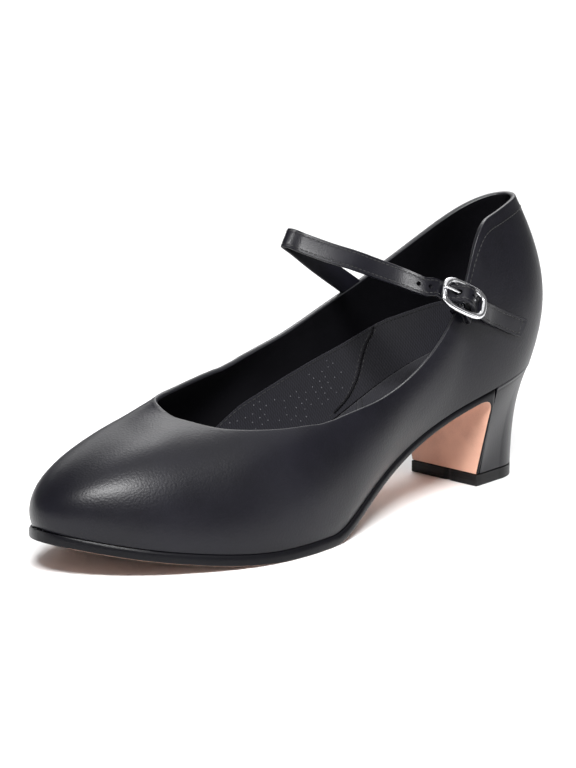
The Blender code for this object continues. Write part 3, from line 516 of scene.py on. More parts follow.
turns = np.arange(RING_STEPS) / RING_STEPS
foot, foot_out = foot_line(turns)
rings = []
kinds = []
for height in np.linspace(0, 1, WALL_STEPS + 1):
    heights = np.full(RING_STEPS, height)
    rings.append(upper_point(turns, heights, soft_relief(turns, heights)[:, None]))
    kinds.append(LEATHER)
full = np.ones(RING_STEPS)
rim_out = upper_normal(turns, full)
rim_up = upper_surface(turns, full) - upper_surface(turns, full * 0.99)
rim_up /= np.linalg.norm(rim_up, axis=1)[:, None]
rim_middle = upper_point(turns, full, -WALL / 2)
# The rim's rings and the top band of the wall take the turned edge, whose lighter colour is a painted
# highlight.
for angle in np.linspace(0, math.pi, RIM_STEPS + 1)[1:-1]:
    rings.append(rim_middle + rim_out * math.cos(angle) * WALL / 2 + rim_up * math.sin(angle) * RIM_RISE)
    kinds.append(TURNED_EDGE_HIGHLIGHT)
kinds[WALL_STEPS] = TURNED_EDGE_HIGHLIGHT
for height in np.linspace(1, 0, LINING_STEPS + 1)[:-1]:
    rings.append(upper_point(turns, np.full(RING_STEPS, height), -WALL))
    kinds.append(FACING)
inside_foot = foot - foot_out * WALL
rings.append(place(inside_foot[:, 0], inside_foot[:, 1], floor_height(inside_foot[:, 0]) + CLEARANCE))
kinds.append(FACING)
upper = ring_piece("upper_leather", rings, [black_leather, facing_leather, turned_edge_highlight],
                   closed_path=True, kind_of=lambda k, j: kinds[k], sharp=60)
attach(upper, "root")
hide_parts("upper")


# Stitches
# Waxed black thread, locked through the leather in short runs of even length.
# Every seam is one path on its leather; a tree lays the stitches along it, half sunk.
THREAD = 0.00042
FINE_THREAD = 0.00035
STITCH_PITCH = 0.0021


def thread_finish():
    """Twisted black thread with a low sheen."""
    material, shader, spot = start_finish("black_thread")
    twist = node(material, "ShaderNodeTexNoise", None, {"Vector": spot, "Scale": 5200.0, "Detail": 2.0})
    tone = node(material, "ShaderNodeValToRGB",
                {"stops": ((0.3, grey(0.006)), (0.75, grey(0.018)))}, {"Fac": twist})
    join(material, tone, shader.inputs["Base Color"])
    join(material, 0.55 + (twist - 0.5) * 0.2, shader.inputs["Roughness"])
    bump = node(material, "ShaderNodeBump", None, {"Strength": 0.5, "Distance": 0.00005, "Height": twist})
    join(material, bump, shader.inputs["Normal"])
    return material


black_thread = thread_finish()


def stitch_tree():
    """Geometry Nodes that lay one stitch after another along a path."""
    tree = bpy.data.node_groups.new("stitch_run", "GeometryNodeTree")
    tree.interface.new_socket("Path", in_out="INPUT", socket_type="NodeSocketGeometry")
    for label in ("Pitch", "Thread", "Length"):
        tree.interface.new_socket(label, in_out="INPUT", socket_type="NodeSocketFloat")
    tree.interface.new_socket("Finish", in_out="INPUT", socket_type="NodeSocketMaterial")
    tree.interface.new_socket("Stitches", in_out="OUTPUT", socket_type="NodeSocketGeometry")
    given = tree.nodes.new("NodeGroupInput")
    result = tree.nodes.new("NodeGroupOutput")
    curve = tree.nodes.new("GeometryNodeMeshToCurve")
    steps = tree.nodes.new("GeometryNodeResampleCurve")
    steps.mode = "LENGTH"
    tangent = tree.nodes.new("GeometryNodeInputTangent")
    turn = tree.nodes.new("FunctionNodeAlignRotationToVector")
    turn.axis = "Z"
    bead = tree.nodes.new("GeometryNodeMeshUVSphere")
    bead.inputs["Segments"].default_value = 8
    bead.inputs["Rings"].default_value = 6
    bead.inputs["Radius"].default_value = 0.5
    size = tree.nodes.new("ShaderNodeCombineXYZ")
    lay = tree.nodes.new("GeometryNodeInstanceOnPoints")
    real = tree.nodes.new("GeometryNodeRealizeInstances")
    smooth = tree.nodes.new("GeometryNodeSetShadeSmooth")
    dress = tree.nodes.new("GeometryNodeSetMaterial")
    link = tree.links.new
    link(given.outputs["Path"], curve.inputs[0])
    link(curve.outputs[0], steps.inputs["Curve"])
    link(given.outputs["Pitch"], steps.inputs["Length"])
    link(tangent.outputs[0], turn.inputs["Vector"])
    link(given.outputs["Thread"], size.inputs[0])
    link(given.outputs["Thread"], size.inputs[1])
    link(given.outputs["Length"], size.inputs[2])
    link(steps.outputs[0], lay.inputs["Points"])
    link(bead.outputs["Mesh"], lay.inputs["Instance"])
    link(turn.outputs[0], lay.inputs["Rotation"])
    link(size.outputs[0], lay.inputs["Scale"])
    link(lay.outputs[0], real.inputs[0])
    link(real.outputs[0], smooth.inputs[0])
    link(smooth.outputs[0], dress.inputs["Geometry"])
    link(given.outputs["Finish"], dress.inputs["Material"])
    link(dress.outputs[0], result.inputs[0])
    return tree


STITCH_TREE = stitch_tree()


def bake(piece, tree, values):
    """Runs a tree on a piece and leaves a plain mesh in its place."""
    modifier = piece.modifiers.new("run", "NODES")
    modifier.node_group = tree
    for item in tree.interface.items_tree:
        if item.item_type == "SOCKET" and item.in_out == "INPUT" and item.name in values:
            modifier[item.identifier] = values[item.name]
    ready = piece.evaluated_get(bpy.context.evaluated_depsgraph_get())
    mesh = bpy.data.meshes.new_from_object(ready)
    piece.modifiers.remove(modifier)
    piece.data = mesh
    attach(piece, "root")
    return piece


def stitch_row(name, paths, pitch=STITCH_PITCH, thread=THREAD, fill=0.8, finish=black_thread):
    """One piece of stitches along one or more paths of points."""
    vertices = []
    edges = []
    for path in paths:
        first = len(vertices)
        vertices += [tuple(point) for point in path]
        edges += [(first + k, first + k + 1) for k in range(len(path) - 1)]
    mesh = bpy.data.meshes.new(name)
    mesh.from_pydata(vertices, edges, [])
    piece = bpy.data.objects.new(name, mesh)
    bpy.context.scene.collection.objects.link(piece)
    bake(piece, STITCH_TREE, {"Pitch": pitch, "Thread": thread, "Length": pitch * fill, "Finish": finish})
    return piece


# Run of the collar's seam on the outer quarter: ring turn, height on the wall
COLLAR_SEAM = ((0.022, 0.945), (0.10, 0.945), (0.134, 0.925))
seam_turns, seam_heights = zip(*COLLAR_SEAM)
rim_turns = np.linspace(seam_turns[0], seam_turns[-1], 160)
topline_height = np.interp(rim_turns, seam_turns, seam_heights)
stitch_row("collar_stitches", [upper_point(rim_turns, topline_height, THREAD * 0.1)])


# Lining
# Dark knitted textile glued to the inside of the quarters and the inner forepart under a leather facing.
# On the inner side it is punched with a field of fine air holes, and its upper edge is stitched down.
LINING_THICKNESS = 0.0004
LINING_TURNS = 300
GLUE_LINE = 0.00004
SEAM_DROP = 0.025
PANEL_SEAM_HALF = 0.004
CORD_STEP = 0.0008
CORD = 0.0011
PINHOLE_SIZE = 0.00055
PINHOLE_SEED = 11
PINHOLE_KEPT = 0.62
PINHOLE_SCATTER = 0.0012
PINHOLE_FIRST_TURN = 0.640
PINHOLE_LAST_TURN = 0.83
PINHOLE_TURN_STEP = 0.0072
# Rows of the field: first height, height where they end and step, in shares of the wall
PINHOLE_ROWS = (0.17, 0.60, 0.062)
PINHOLE_BORDER = 0.07
# Upper edge of the textile: ring turn, height on the wall
LINING_EDGE = (
    (0.000, 0.34),
    (0.100, 0.36),
    (0.150, 0.42),
    (0.200, 0.48),
    (0.300, 0.44),
    (0.420, 0.38),
    (0.560, 0.30),
    (0.650, 0.28),
    (0.686, 0.35),
    (0.698, 0.49),
    (0.710, 0.59),
    (0.732, 0.62),
    (0.758, 0.615),
    (0.788, 0.585),
    (0.826, 0.53),
    (0.882, 0.50),
    (0.918, 0.42),
    (0.950, 0.36),
    (1.000, 0.34),
)
# Seam where the forepart's panel meets the heel's: ring turn, height on the wall
PANEL_SEAM = (
    (0.8680, 0.50),
    (0.8670, 0.44),
    (0.8590, 0.39),
    (0.8520, 0.275),
    (0.8460, 0.16),
    (0.8320, 0.070),
    (0.8140, 0.045),
)


def knit_finish(name, colour, scale):
    """Fine knit: two crossed ribs in the bump, mottled dark yarn."""
    material, shader, spot = start_finish(name)
    yarn = node(material, "ShaderNodeTexNoise", None, {"Vector": spot, "Scale": 900.0, "Detail": 4.0})
    loops = node(material, "ShaderNodeTexWave", {"wave_type": "BANDS", "bands_direction": "DIAGONAL"},
                 {"Vector": spot, "Scale": scale, "Distortion": 1.2, "Detail": 1.0, "Detail Scale": 3.0})
    rows = node(material, "ShaderNodeTexWave", {"wave_type": "BANDS", "bands_direction": "Y"},
                {"Vector": spot, "Scale": scale * 0.8, "Distortion": 1.0, "Detail": 1.0, "Detail Scale": 3.0})
    weave = loops * 0.5 + rows * 0.5
    dark = tuple(part * 0.55 for part in colour)
    light = tuple(part * 1.6 for part in colour)
    tone = node(material, "ShaderNodeValToRGB", {"stops": ((0.25, dark), (0.8, light))},
                {"Fac": weave * 0.6 + yarn * 0.5})
    join(material, tone, shader.inputs["Base Color"])
    join(material, 0.86 + (yarn - 0.5) * 0.16, shader.inputs["Roughness"])
    bump = node(material, "ShaderNodeBump", None,
                {"Strength": 0.5, "Distance": 0.00015, "Height": weave + yarn * 0.4})
    join(material, bump, shader.inputs["Normal"])
    shader.inputs["Specular IOR Level"].default_value = 0.25
    shader.inputs["Sheen Weight"].default_value = 0.12
    shader.inputs["Sheen Roughness"].default_value = 0.5
    return material


lining_knit = knit_finish("lining_knit", (0.0105, 0.0103, 0.0145), 420.0)
pinhole_finish = knit_finish("pinhole_edge", (0.085, 0.085, 0.095), 420.0)

edge_table = np.array(LINING_EDGE)
turns = np.arange(LINING_TURNS) / LINING_TURNS
edge_height = np.interp(turns, edge_table[:, 0], edge_table[:, 1])
for _ in range(4):
    edge_height = (np.roll(edge_height, 1) + 2 * edge_height + np.roll(edge_height, -1)) / 4
rings = []
for share in np.linspace(0.02, 1, 26):
    rings.append(upper_point(turns, edge_height * share, -WALL - GLUE_LINE))
for share, deep in ((1.0, 0.6), (0.996, 1.0)):
    rings.append(upper_point(turns, edge_height * share, -WALL - LINING_THICKNESS * deep))
for share in np.linspace(0.98, 0.02, 26):
    rings.append(upper_point(turns, edge_height * share, -WALL - LINING_THICKNESS))
lining = ring_piece("lining", rings, lining_knit, closed_path=True)
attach(lining, "root")
lining_turns = np.linspace(0.0, 1.0, 700)
lining_seam = np.interp(lining_turns, turns, edge_height) - SEAM_DROP
stitch_row("lining_stitches", [upper_point(lining_turns, lining_seam, -WALL - LINING_THICKNESS)],
           pitch=0.0024, thread=FINE_THREAD)
panel_seam = np.array(PANEL_SEAM)
seam_share = np.linspace(0, len(panel_seam) - 1, 90)
soften = np.hanning(25) / np.hanning(25).sum()
seam_turn, seam_height = (
    np.convolve(np.pad(np.interp(seam_share, range(len(panel_seam)), panel_seam[:, k]), 12, "edge"),
                soften, "valid") for k in (0, 1))
# The cord along the panel seam is a real seam bead, but its very dark facing finish is painted shade for the
# seam's groove.
stitch_row("panel_seam_shade_cord", [upper_point(seam_turn, seam_height, -WALL - LINING_THICKNESS)],
           pitch=CORD_STEP, thread=CORD, fill=1.5, finish=facing_leather)
for number, shift in enumerate((-PANEL_SEAM_HALF, PANEL_SEAM_HALF)):
    stitch_row("panel_seam_stitches_%d" % number,
               [upper_point(seam_turn + shift, seam_height, -WALL - LINING_THICKNESS)],
               pitch=0.0022, thread=FINE_THREAD)


def pinhole_tree():
    """Geometry Nodes that set a small punched ring at every marked place."""
    tree = bpy.data.node_groups.new("pinhole_field", "GeometryNodeTree")
    tree.interface.new_socket("Places", in_out="INPUT", socket_type="NodeSocketGeometry")
    tree.interface.new_socket("Size", in_out="INPUT", socket_type="NodeSocketFloat")
    tree.interface.new_socket("Finish", in_out="INPUT", socket_type="NodeSocketMaterial")
    tree.interface.new_socket("Holes", in_out="OUTPUT", socket_type="NodeSocketGeometry")
    given = tree.nodes.new("NodeGroupInput")
    result = tree.nodes.new("NodeGroupOutput")
    facing = tree.nodes.new("GeometryNodeInputNamedAttribute")
    facing.data_type = "FLOAT_VECTOR"
    facing.inputs["Name"].default_value = "facing"
    turn = tree.nodes.new("FunctionNodeAlignRotationToVector")
    turn.axis = "Z"
    rim = tree.nodes.new("GeometryNodeMeshCone")
    rim.inputs["Vertices"].default_value = 8
    rim.inputs["Radius Top"].default_value = 0.30
    rim.inputs["Radius Bottom"].default_value = 0.5
    rim.inputs["Depth"].default_value = 0.25
    lay = tree.nodes.new("GeometryNodeInstanceOnPoints")
    real = tree.nodes.new("GeometryNodeRealizeInstances")
    dress = tree.nodes.new("GeometryNodeSetMaterial")
    size = tree.nodes.new("ShaderNodeCombineXYZ")
    link = tree.links.new
    link(facing.outputs[0], turn.inputs["Vector"])
    link(given.outputs["Places"], lay.inputs["Points"])
    link(rim.outputs["Mesh"], lay.inputs["Instance"])
    link(turn.outputs[0], lay.inputs["Rotation"])
    for k in range(3):
        link(given.outputs["Size"], size.inputs[k])
    link(size.outputs[0], lay.inputs["Scale"])
    link(lay.outputs[0], real.inputs[0])
    link(real.outputs[0], dress.inputs["Geometry"])
    link(given.outputs["Finish"], dress.inputs["Material"])
    link(dress.outputs[0], result.inputs[0])
    return tree


PINHOLE_TREE = pinhole_tree()


def pinholes(name, points, facings):
    """Field of punched holes at the points, each facing out of its textile."""
    mesh = bpy.data.meshes.new(name)
    mesh.from_pydata([tuple(p) for p in points], [], [])
    mark = mesh.attributes.new("facing", "FLOAT_VECTOR", "POINT")
    mark.data.foreach_set("vector", np.asarray(facings, float).ravel())
    piece = bpy.data.objects.new(name, mesh)
    bpy.context.scene.collection.objects.link(piece)
    bake(piece, PINHOLE_TREE, {"Size": PINHOLE_SIZE, "Finish": pinhole_finish})


spots = []
scatter = np.random.default_rng(PINHOLE_SEED)
for row, height in enumerate(np.arange(*PINHOLE_ROWS)):
    for k in range(40):
        turn = PINHOLE_FIRST_TURN + (k + 0.5 * (row % 2)) * PINHOLE_TURN_STEP
        kept = scatter.random() < PINHOLE_KEPT
        turn += scatter.normal(0, PINHOLE_SCATTER)
        below_edge = height < np.interp(turn, turns, edge_height) - PINHOLE_BORDER
        if kept and turn < PINHOLE_LAST_TURN and below_edge:
            spots.append((turn, height))
spots = np.array(spots)
pinholes("lining_pinholes", upper_point(spots[:, 0], spots[:, 1], -WALL - LINING_THICKNESS - 0.00002),
         -upper_normal(spots[:, 0], spots[:, 1]))


# Outsole
# Tan leather sole, cut in one with the flap that turns down over the heel's breast.
# Its edge is bevelled, inked black and burnished, and cemented under the upper.
LEDGE = 0.0011
WAIST_INSET = 0.0004
EDGE_BEVEL = 0.0009
FLAP_THICKNESS = 0.002
BREAST_FILLET = 0.0075
FLAP_INSET = 0.00015
LIFT_HEIGHT = 0.0048
LIFT_WIDTH = 0.0345
LIFT_BACK = 0.012
LIFT_TAPER = 0.0015
SOLE_SECTIONS = 150
# Corners of one section of the sole, from its outer lower arris over the top to its inner lower arris
PROFILE_POINTS = 18
INK_COLOUR = (0.0032, 0.0031, 0.0045)
TAN = (0.60, 0.345, 0.255)


def outline(offset):
    """Feather line moved outwards, as lookups of across by along for each side."""
    turns = np.linspace(0, 1, 601)
    points, outward = foot_line(turns)
    moved = points + outward * (offset(points[:, 0])[:, None] if callable(offset) else offset)
    tip = int(np.argmax(moved[:, 0]))
    back = int(np.argmin(moved[:, 0]))
    if back > len(turns) // 2:
        back = 0
    outer = moved[back:tip + 1]
    inner = moved[tip:][::-1]
    outer = outer[np.argsort(outer[:, 0])]
    inner = inner[np.argsort(inner[:, 0])]
    return outer, inner


def sole_overhang(along):
    """How far the sole stands out from the upper: a ledge round the forepart, tucked in at the waist."""
    blend = np.clip((along - BREAST) / (TREAD_BACK - BREAST), 0, 1)
    return -WAIST_INSET + (LEDGE + WAIST_INSET) * blend ** 2 * (3 - 2 * blend)


def edge_section(along_low, along_high, outer, inner, low, high):
    """Section of the sole with a soft lower arris and a bevelled, slightly hollow edge."""
    tuck = min(EDGE_BEVEL, (outer - inner) / 8)
    points = []
    # inset in shares of the bevel, rise in shares of the thickness
    profile = ((0.50, 0.0), (0.28, 0.04), (0.12, 0.14), (0.02, 0.30), (0.0, 0.52), (0.10, 0.70),
               (0.34, 0.82), (0.62, 0.92), (1.0, 1.0))
    for inset, rise in profile:
        along = along_low + (along_high - along_low) * rise
        points.append(place(along, outer - tuck * inset, low + (high - low) * rise))
    for inset, rise in profile[::-1]:
        along = along_low + (along_high - along_low) * rise
        points.append(place(along, inner + tuck * inset, low + (high - low) * rise))
    for share in (0.25, 0.5, 0.75):
        points.append(place(along_low, inner + (outer - inner) * share, low))
    return np.vstack(points)


def breast_half_width(up):
    """Half width of the heel's front face at a height."""
    seat = outline(0.0)[0]
    seat_half = float(np.interp(BREAST, seat[:, 0], seat[:, 1])) - WAIST_INSET
    lift_half = LIFT_WIDTH / 2
    share = np.clip((up - LIFT_HEIGHT) / (underside(BREAST) - LIFT_HEIGHT), 0, 1)
    return lift_half + (seat_half - lift_half) * share


def sole_sections():
    """Sections from the toe to the foot of the flap."""
    outer, inner = outline(sole_overhang)
    tip = outer[-1, 0]
    flap_front = BREAST
    flap_back = BREAST - FLAP_THICKNESS
    fillet_start = flap_front + BREAST_FILLET
    sections = []
    for angle in np.linspace(0, math.pi / 2, SOLE_SECTIONS)[::-1]:
        along = fillet_start + (tip - 0.00012 - fillet_start) * math.sin(angle)
        left = np.interp(along, outer[:, 0], outer[:, 1])
        right = np.interp(along, inner[:, 0], inner[:, 1])
        sections.append(edge_section(along, along, left, right, underside(along), floor_height(along)))
    corner_low = underside(flap_front)
    flap_top = corner_low - BREAST_FILLET
    corner_high = floor_height(flap_back)
    for t in np.linspace(0, 1, 33)[1:]:
        start = np.array([fillet_start, underside(fillet_start)])
        bend = np.array([flap_front, corner_low])
        end = np.array([flap_front, flap_top])
        low_along, low_up = (1 - t) ** 2 * start + 2 * t * (1 - t) * bend + t * t * end
        if t <= 0.5:
            high_along = fillet_start + (flap_back - fillet_start) * t / 0.5
            high_up = floor_height(high_along)
        else:
            high_along = flap_back
            high_up = corner_high + (flap_top - corner_high) * (t - 0.5) / 0.5
        left = np.interp(high_along, outer[:, 0], outer[:, 1])
        right = np.interp(high_along, inner[:, 0], inner[:, 1])
        flap_half = breast_half_width(low_up) - FLAP_INSET
        left = left + (flap_half - left) * t
        right = right + (-flap_half - right) * t
        sections.append(edge_section(low_along, high_along, left, right, low_up, high_up))
    for up in np.linspace(flap_top, LIFT_HEIGHT + CLEARANCE, 24)[1:]:
        half = breast_half_width(up) - FLAP_INSET
        sections.append(edge_section(flap_front, flap_back, half, -half, up, up))
    return sections


def tan_leather(name, depth):
    """Vegetable-tanned sole leather: cut fibre, a faint cloud and darker rubbed patches."""
    material, shader, spot = start_finish(name)
    cloud = node(material, "ShaderNodeTexNoise", None, {"Vector": spot, "Scale": 70.0, "Detail": 5.0})
    fibre = node(material, "ShaderNodeTexNoise", None, {"Vector": spot, "Scale": 1800.0, "Detail": 3.0})
    tone = node(material, "ShaderNodeValToRGB",
                {"stops": [(at, tuple(part * (depth * shade) for part in TAN))
                           for at, shade in ((0.25, 0.76), (0.5, 1.0), (0.8, 1.14))]},
                {"Fac": cloud * 0.8 + fibre * 0.2})
    join(material, tone, shader.inputs["Base Color"])
    join(material, 0.58 + (fibre - 0.5) * 0.2, shader.inputs["Roughness"])
    bump = node(material, "ShaderNodeBump", None, {"Strength": 0.3, "Distance": 0.00012, "Height": fibre})
    join(material, bump, shader.inputs["Normal"])
    return material


edge_ink = leather_finish("edge_ink", INK_COLOUR, 0.36, 2600.0, scuff=0.08, shine=0.16)
tan_sole = tan_leather("tan_sole_leather", 1.0)
# The tread's tan is darkened to 0.38 of the sole's: painted shade under the forepart, which also dims the
# warm glow it throws on the floor.
shaded_tread_leather = tan_leather("shaded_tread", 0.38)
INKED, TAN_WAIST, SHADED_TREAD = range(3)


def sole_face_kind(k, j):
    """Ink on the edges, the top and the toe's tip, clean tan on waist and flap, darker tan on the tread as
    painted shade.
    """
    if k == 0 or 0 < j < PROFILE_POINTS - 1 or (j == 0 and k < SOLE_SECTIONS // 8):
        return INKED
    return TAN_WAIST if k >= SOLE_SECTIONS - 20 else SHADED_TREAD


outsole = ring_piece("outsole_leather", sole_sections(), [edge_ink, tan_sole, shaded_tread_leather],
                     kind_of=sole_face_kind, sharp=50)
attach(outsole, "root")
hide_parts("outsole")


# Heel
# Two inch block covered in the upper's black leather, drawn smooth from the seat to the top lift.
# A thin welt line shows where the cover meets the seat of the sole.
HEEL_COLUMNS = 161
HEEL_ROWS = 70
COVER_GAP = 0.00003
# Widening of the block from the lift to the seat: nearly even at the breast, late and quick at the back
TAPER_AT_BREAST = 1.15
TAPER_ADDED_AT_BACK = 1.9
STRAIGHT_SHARE = 0.15
# The welt line under the seat: its depth, and its reach and the heights of its lip and groove in shares
WELT_DEPTH = 0.00025
WELT_REACH = 0.008
WELT_LIP = 0.985
WELT_GROOVE = 0.962


def turn_at(along, side):
    """Ring turn where the feather line passes a place along the outer (+1) or inner (-1) side."""
    turns = np.linspace(0, 1, 1001)
    points, _ = foot_line(turns)
    tip = int(np.argmax(points[:, 0]))
    if side > 0:
        return float(np.interp(along, points[:tip, 0], turns[:tip]))
    return float(np.interp(along, points[tip:, 0][::-1], turns[tip:][::-1]))


def lift_ring(grow, steps):
    """D-shaped outline of the top lift from the outer breast corner round the back."""
    half = LIFT_WIDTH / 2 + grow
    front = BREAST - FLAP_THICKNESS - CLEARANCE
    back = LIFT_BACK - grow
    round_start = back + half * 0.95
    angles = np.linspace(0, math.pi, steps)
    points = [(front, half)]
    for angle in angles:
        side = half - LIFT_TAPER
        points.append((round_start - (round_start - back) * math.sin(angle), side * math.cos(angle)))
    points.append((front, -half))
    return np.array(points)


def even_ring(points, count):
    """Outline resampled at equal steps."""
    run = np.concatenate([[0], np.cumsum(np.linalg.norm(np.diff(points, axis=0), axis=1))])
    at = np.linspace(0, run[-1], count)
    return np.stack([np.interp(at, run, points[:, k]) for k in range(2)], axis=1)


front = BREAST - FLAP_THICKNESS - COVER_GAP
turns = np.linspace(turn_at(front, 1), turn_at(front, -1) - 1, HEEL_COLUMNS)
seat_points, seat_out = foot_line(turns)
seat = even_ring(seat_points - seat_out * WAIST_INSET / 2, HEEL_COLUMNS)
seat[0, 0] = seat[-1, 0] = front
lift = even_ring(lift_ring(0.0, 160), HEEL_COLUMNS)
power = TAPER_AT_BREAST + TAPER_ADDED_AT_BACK * (1 - np.linspace(-1, 1, HEEL_COLUMNS) ** 2)
base = LIFT_HEIGHT + CLEARANCE
rings = []
for share in np.linspace(0, 1, HEEL_ROWS):
    blend = (STRAIGHT_SHARE * share + (1 - STRAIGHT_SHARE) * share ** power)[:, None]
    points = lift + (seat - lift) * blend
    lip, groove = (math.exp(-((share - at) / WELT_REACH) ** 2) for at in (WELT_LIP, WELT_GROOVE))
    outward = points - points.mean(axis=0)
    outward /= np.linalg.norm(outward, axis=1)[:, None]
    points = points + outward * (WELT_DEPTH * (lip - groove))
    points[0, 0] = points[-1, 0] = front
    rings.append(place(points[:, 0], points[:, 1], base + (floor_height(points[:, 0]) - base) * share))
vertices = np.vstack(rings)
faces = []
for k in range(HEEL_ROWS - 1):
    for j in range(HEEL_COLUMNS):
        a = k * HEEL_COLUMNS + j
        b = k * HEEL_COLUMNS + (j + 1) % HEEL_COLUMNS
        faces.append((a, b, b + HEEL_COLUMNS, a + HEEL_COLUMNS))
for first in (0, (HEEL_ROWS - 1) * HEEL_COLUMNS):
    for j in range(HEEL_COLUMNS // 2):
        a = first + j
        b = first + HEEL_COLUMNS - 1 - j
        faces.append((a, a + 1, b) if a + 1 == b - 1 else (a, a + 1, b - 1, b))
heel_cover = leather_finish("heel_cover", LEATHER_COLOUR, 0.36, 1700.0)
heel = add_mesh("heel_block", vertices, faces, heel_cover, None, 45)
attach(heel, "root")
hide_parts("heel")


# Top lift
# Black rubber wearing piece pinned under the heel, ground flush with a small round edge.
# A shallow nick is left at the breast where the lift was trimmed.
LIFT_COLUMNS = 140
NICK_DEPTH = 0.0006
NICK_HALF = 0.0011
NICK_PLACE = 0.0020
RUBBER_DARK = grey(0.0028)
RUBBER_LIGHT = (0.0060, 0.0058, 0.0075)


def rubber_finish():
    """Ground rubber: dull, with fine grit and buffing streaks."""
    material, shader, spot = start_finish("lift_rubber")
    grit = node(material, "ShaderNodeTexNoise", None, {"Vector": spot, "Scale": 2400.0, "Detail": 3.0})
    streak = node(material, "ShaderNodeTexWave", {"wave_type": "BANDS", "bands_direction": "Z"},
                  {"Vector": spot, "Scale": 260.0, "Distortion": 4.0, "Detail": 2.0})
    tone = node(material, "ShaderNodeValToRGB", {"stops": ((0.3, RUBBER_DARK), (0.8, RUBBER_LIGHT))},
                {"Fac": grit * 0.6 + streak * 0.4})
    join(material, tone, shader.inputs["Base Color"])
    join(material, 0.46 + (grit - 0.5) * 0.24, shader.inputs["Roughness"])
    shader.inputs["Specular IOR Level"].default_value = 0.2
    bump = node(material, "ShaderNodeBump", None,
                {"Strength": 0.3, "Distance": 0.0001, "Height": grit + streak * 0.4})
    join(material, bump, shader.inputs["Normal"])
    return material


def lift_outline(inset):
    """Outline of the lift with rounded corners and the nick in its front edge."""
    ring = even_ring(lift_ring(-inset, 160), LIFT_COLUMNS)
    ring[[0, -1], 0] += FLAP_THICKNESS + CLEARANCE - inset
    across = np.linspace(ring[-1, 1], ring[0, 1], 40)[1:-1]
    nick = NICK_DEPTH * np.exp(-((across - NICK_PLACE) / NICK_HALF) ** 4)
    return np.vstack([ring, np.stack([ring[0, 0] - nick, across], axis=1)])


rings = []
for inset, up in ((0.0014, 0.0), (0.0005, 0.0), (0.00015, 0.00015), (0.0, 0.0005), (0.0, 0.0024),
                  (0.0, LIFT_HEIGHT - 0.0003), (0.0002, LIFT_HEIGHT - 0.0001), (0.0006, LIFT_HEIGHT)):
    ring = lift_outline(inset)
    rings.append(place(ring[:, 0], ring[:, 1], up))
top_lift = ring_piece("top_lift_rubber", rings, rubber_finish(), sharp=35)
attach(top_lift, "root")
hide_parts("top_lift")


# Socks
# Two cushioned textile socks glued on the insole: a knit forepart and a smoother heel piece.
# They meet at a curved seam, whose raw edge is whipped down.
SOCK_THICKNESS = 0.0016
SOCK_CLEARANCE = 0.0005
SOCK_ROWS = 110
SOCK_COLUMNS = 45

SOCK_SEAM = (
    # across, along
    (-1.0, 0.300),
    (-0.5, 0.345),
    (0.0, 0.385),
    (0.5, 0.425),
    (1.0, 0.450),
)


def seam_along(share):
    """Where the seam between the socks lies."""
    table = np.array(SOCK_SEAM)
    return LENGTH * float(np.interp(share, table[:, 0], table[:, 1]))


def sock(name, along_of, material, node_name):
    """One cushioned sock with rolled borders, swelling slightly in its middle."""
    outer, inner = outline(-WALL - SOCK_CLEARANCE)
    shares = np.linspace(-1, 1, SOCK_COLUMNS)
    low = np.zeros((SOCK_ROWS, SOCK_COLUMNS, 3))
    high = np.zeros((SOCK_ROWS, SOCK_COLUMNS, 3))
    for i, step in enumerate(np.linspace(0, 1, SOCK_ROWS)):
        for j, share in enumerate(shares):
            along = along_of(share, step, outer, inner)
            left = np.interp(along, outer[:, 0], outer[:, 1])
            right = np.interp(along, inner[:, 0], inner[:, 1])
            across = (left + right) / 2 + share * (left - right) / 2
            border = min(1 - abs(share), min(step, 1 - step) * 2.5)
            rolled = min(border / 0.08, 1.0)
            crown = math.sin(math.pi * min(border, 0.5))
            plump = 0.55 + 0.45 * math.sqrt(1 - (1 - rolled) ** 2) + 0.12 * crown
            low[i, j] = place(along, across, floor_height(along) + SOCK_CLEARANCE)
            high[i, j] = low[i, j] + (0, 0, SOCK_THICKNESS * plump)
    count = SOCK_ROWS * SOCK_COLUMNS
    faces = []
    for i in range(SOCK_ROWS - 1):
        for j in range(SOCK_COLUMNS - 1):
            a = i * SOCK_COLUMNS + j
            quad = (a, a + 1, a + SOCK_COLUMNS + 1, a + SOCK_COLUMNS)
            faces.append(quad)
            faces.append(tuple(v + count for v in quad))
    border = [(0, j) for j in range(SOCK_COLUMNS)] + [(i, SOCK_COLUMNS - 1) for i in range(1, SOCK_ROWS)]
    border += [(SOCK_ROWS - 1, j) for j in range(SOCK_COLUMNS - 2, -1, -1)]
    border += [(i, 0) for i in range(SOCK_ROWS - 2, 0, -1)]
    border = [i * SOCK_COLUMNS + j for i, j in border]
    for here, there in zip(border, border[1:] + border[:1]):
        faces.append((here, there, there + count, here + count))
    piece = add_mesh(name, np.vstack([low.reshape(-1, 3), high.reshape(-1, 3)]), faces, material)
    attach(piece, "root")
    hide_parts(node_name)
    return high


def forefoot_along(share, step, outer, inner):
    """Forepart sock: from the seam to the toe."""
    tip = min(outer[-1, 0], inner[-1, 0]) - 0.0004
    start = seam_along(share) + CLEARANCE / 2
    return start + (tip - start) * math.sin(step * math.pi / 2)


def heel_along(share, step, outer, inner):
    """Heel sock: from the seam to the back."""
    end = max(outer[0, 0], inner[0, 0]) + 0.0004
    start = seam_along(share) - CLEARANCE / 2
    return start + (end - start) * math.sin(step * math.pi / 2)


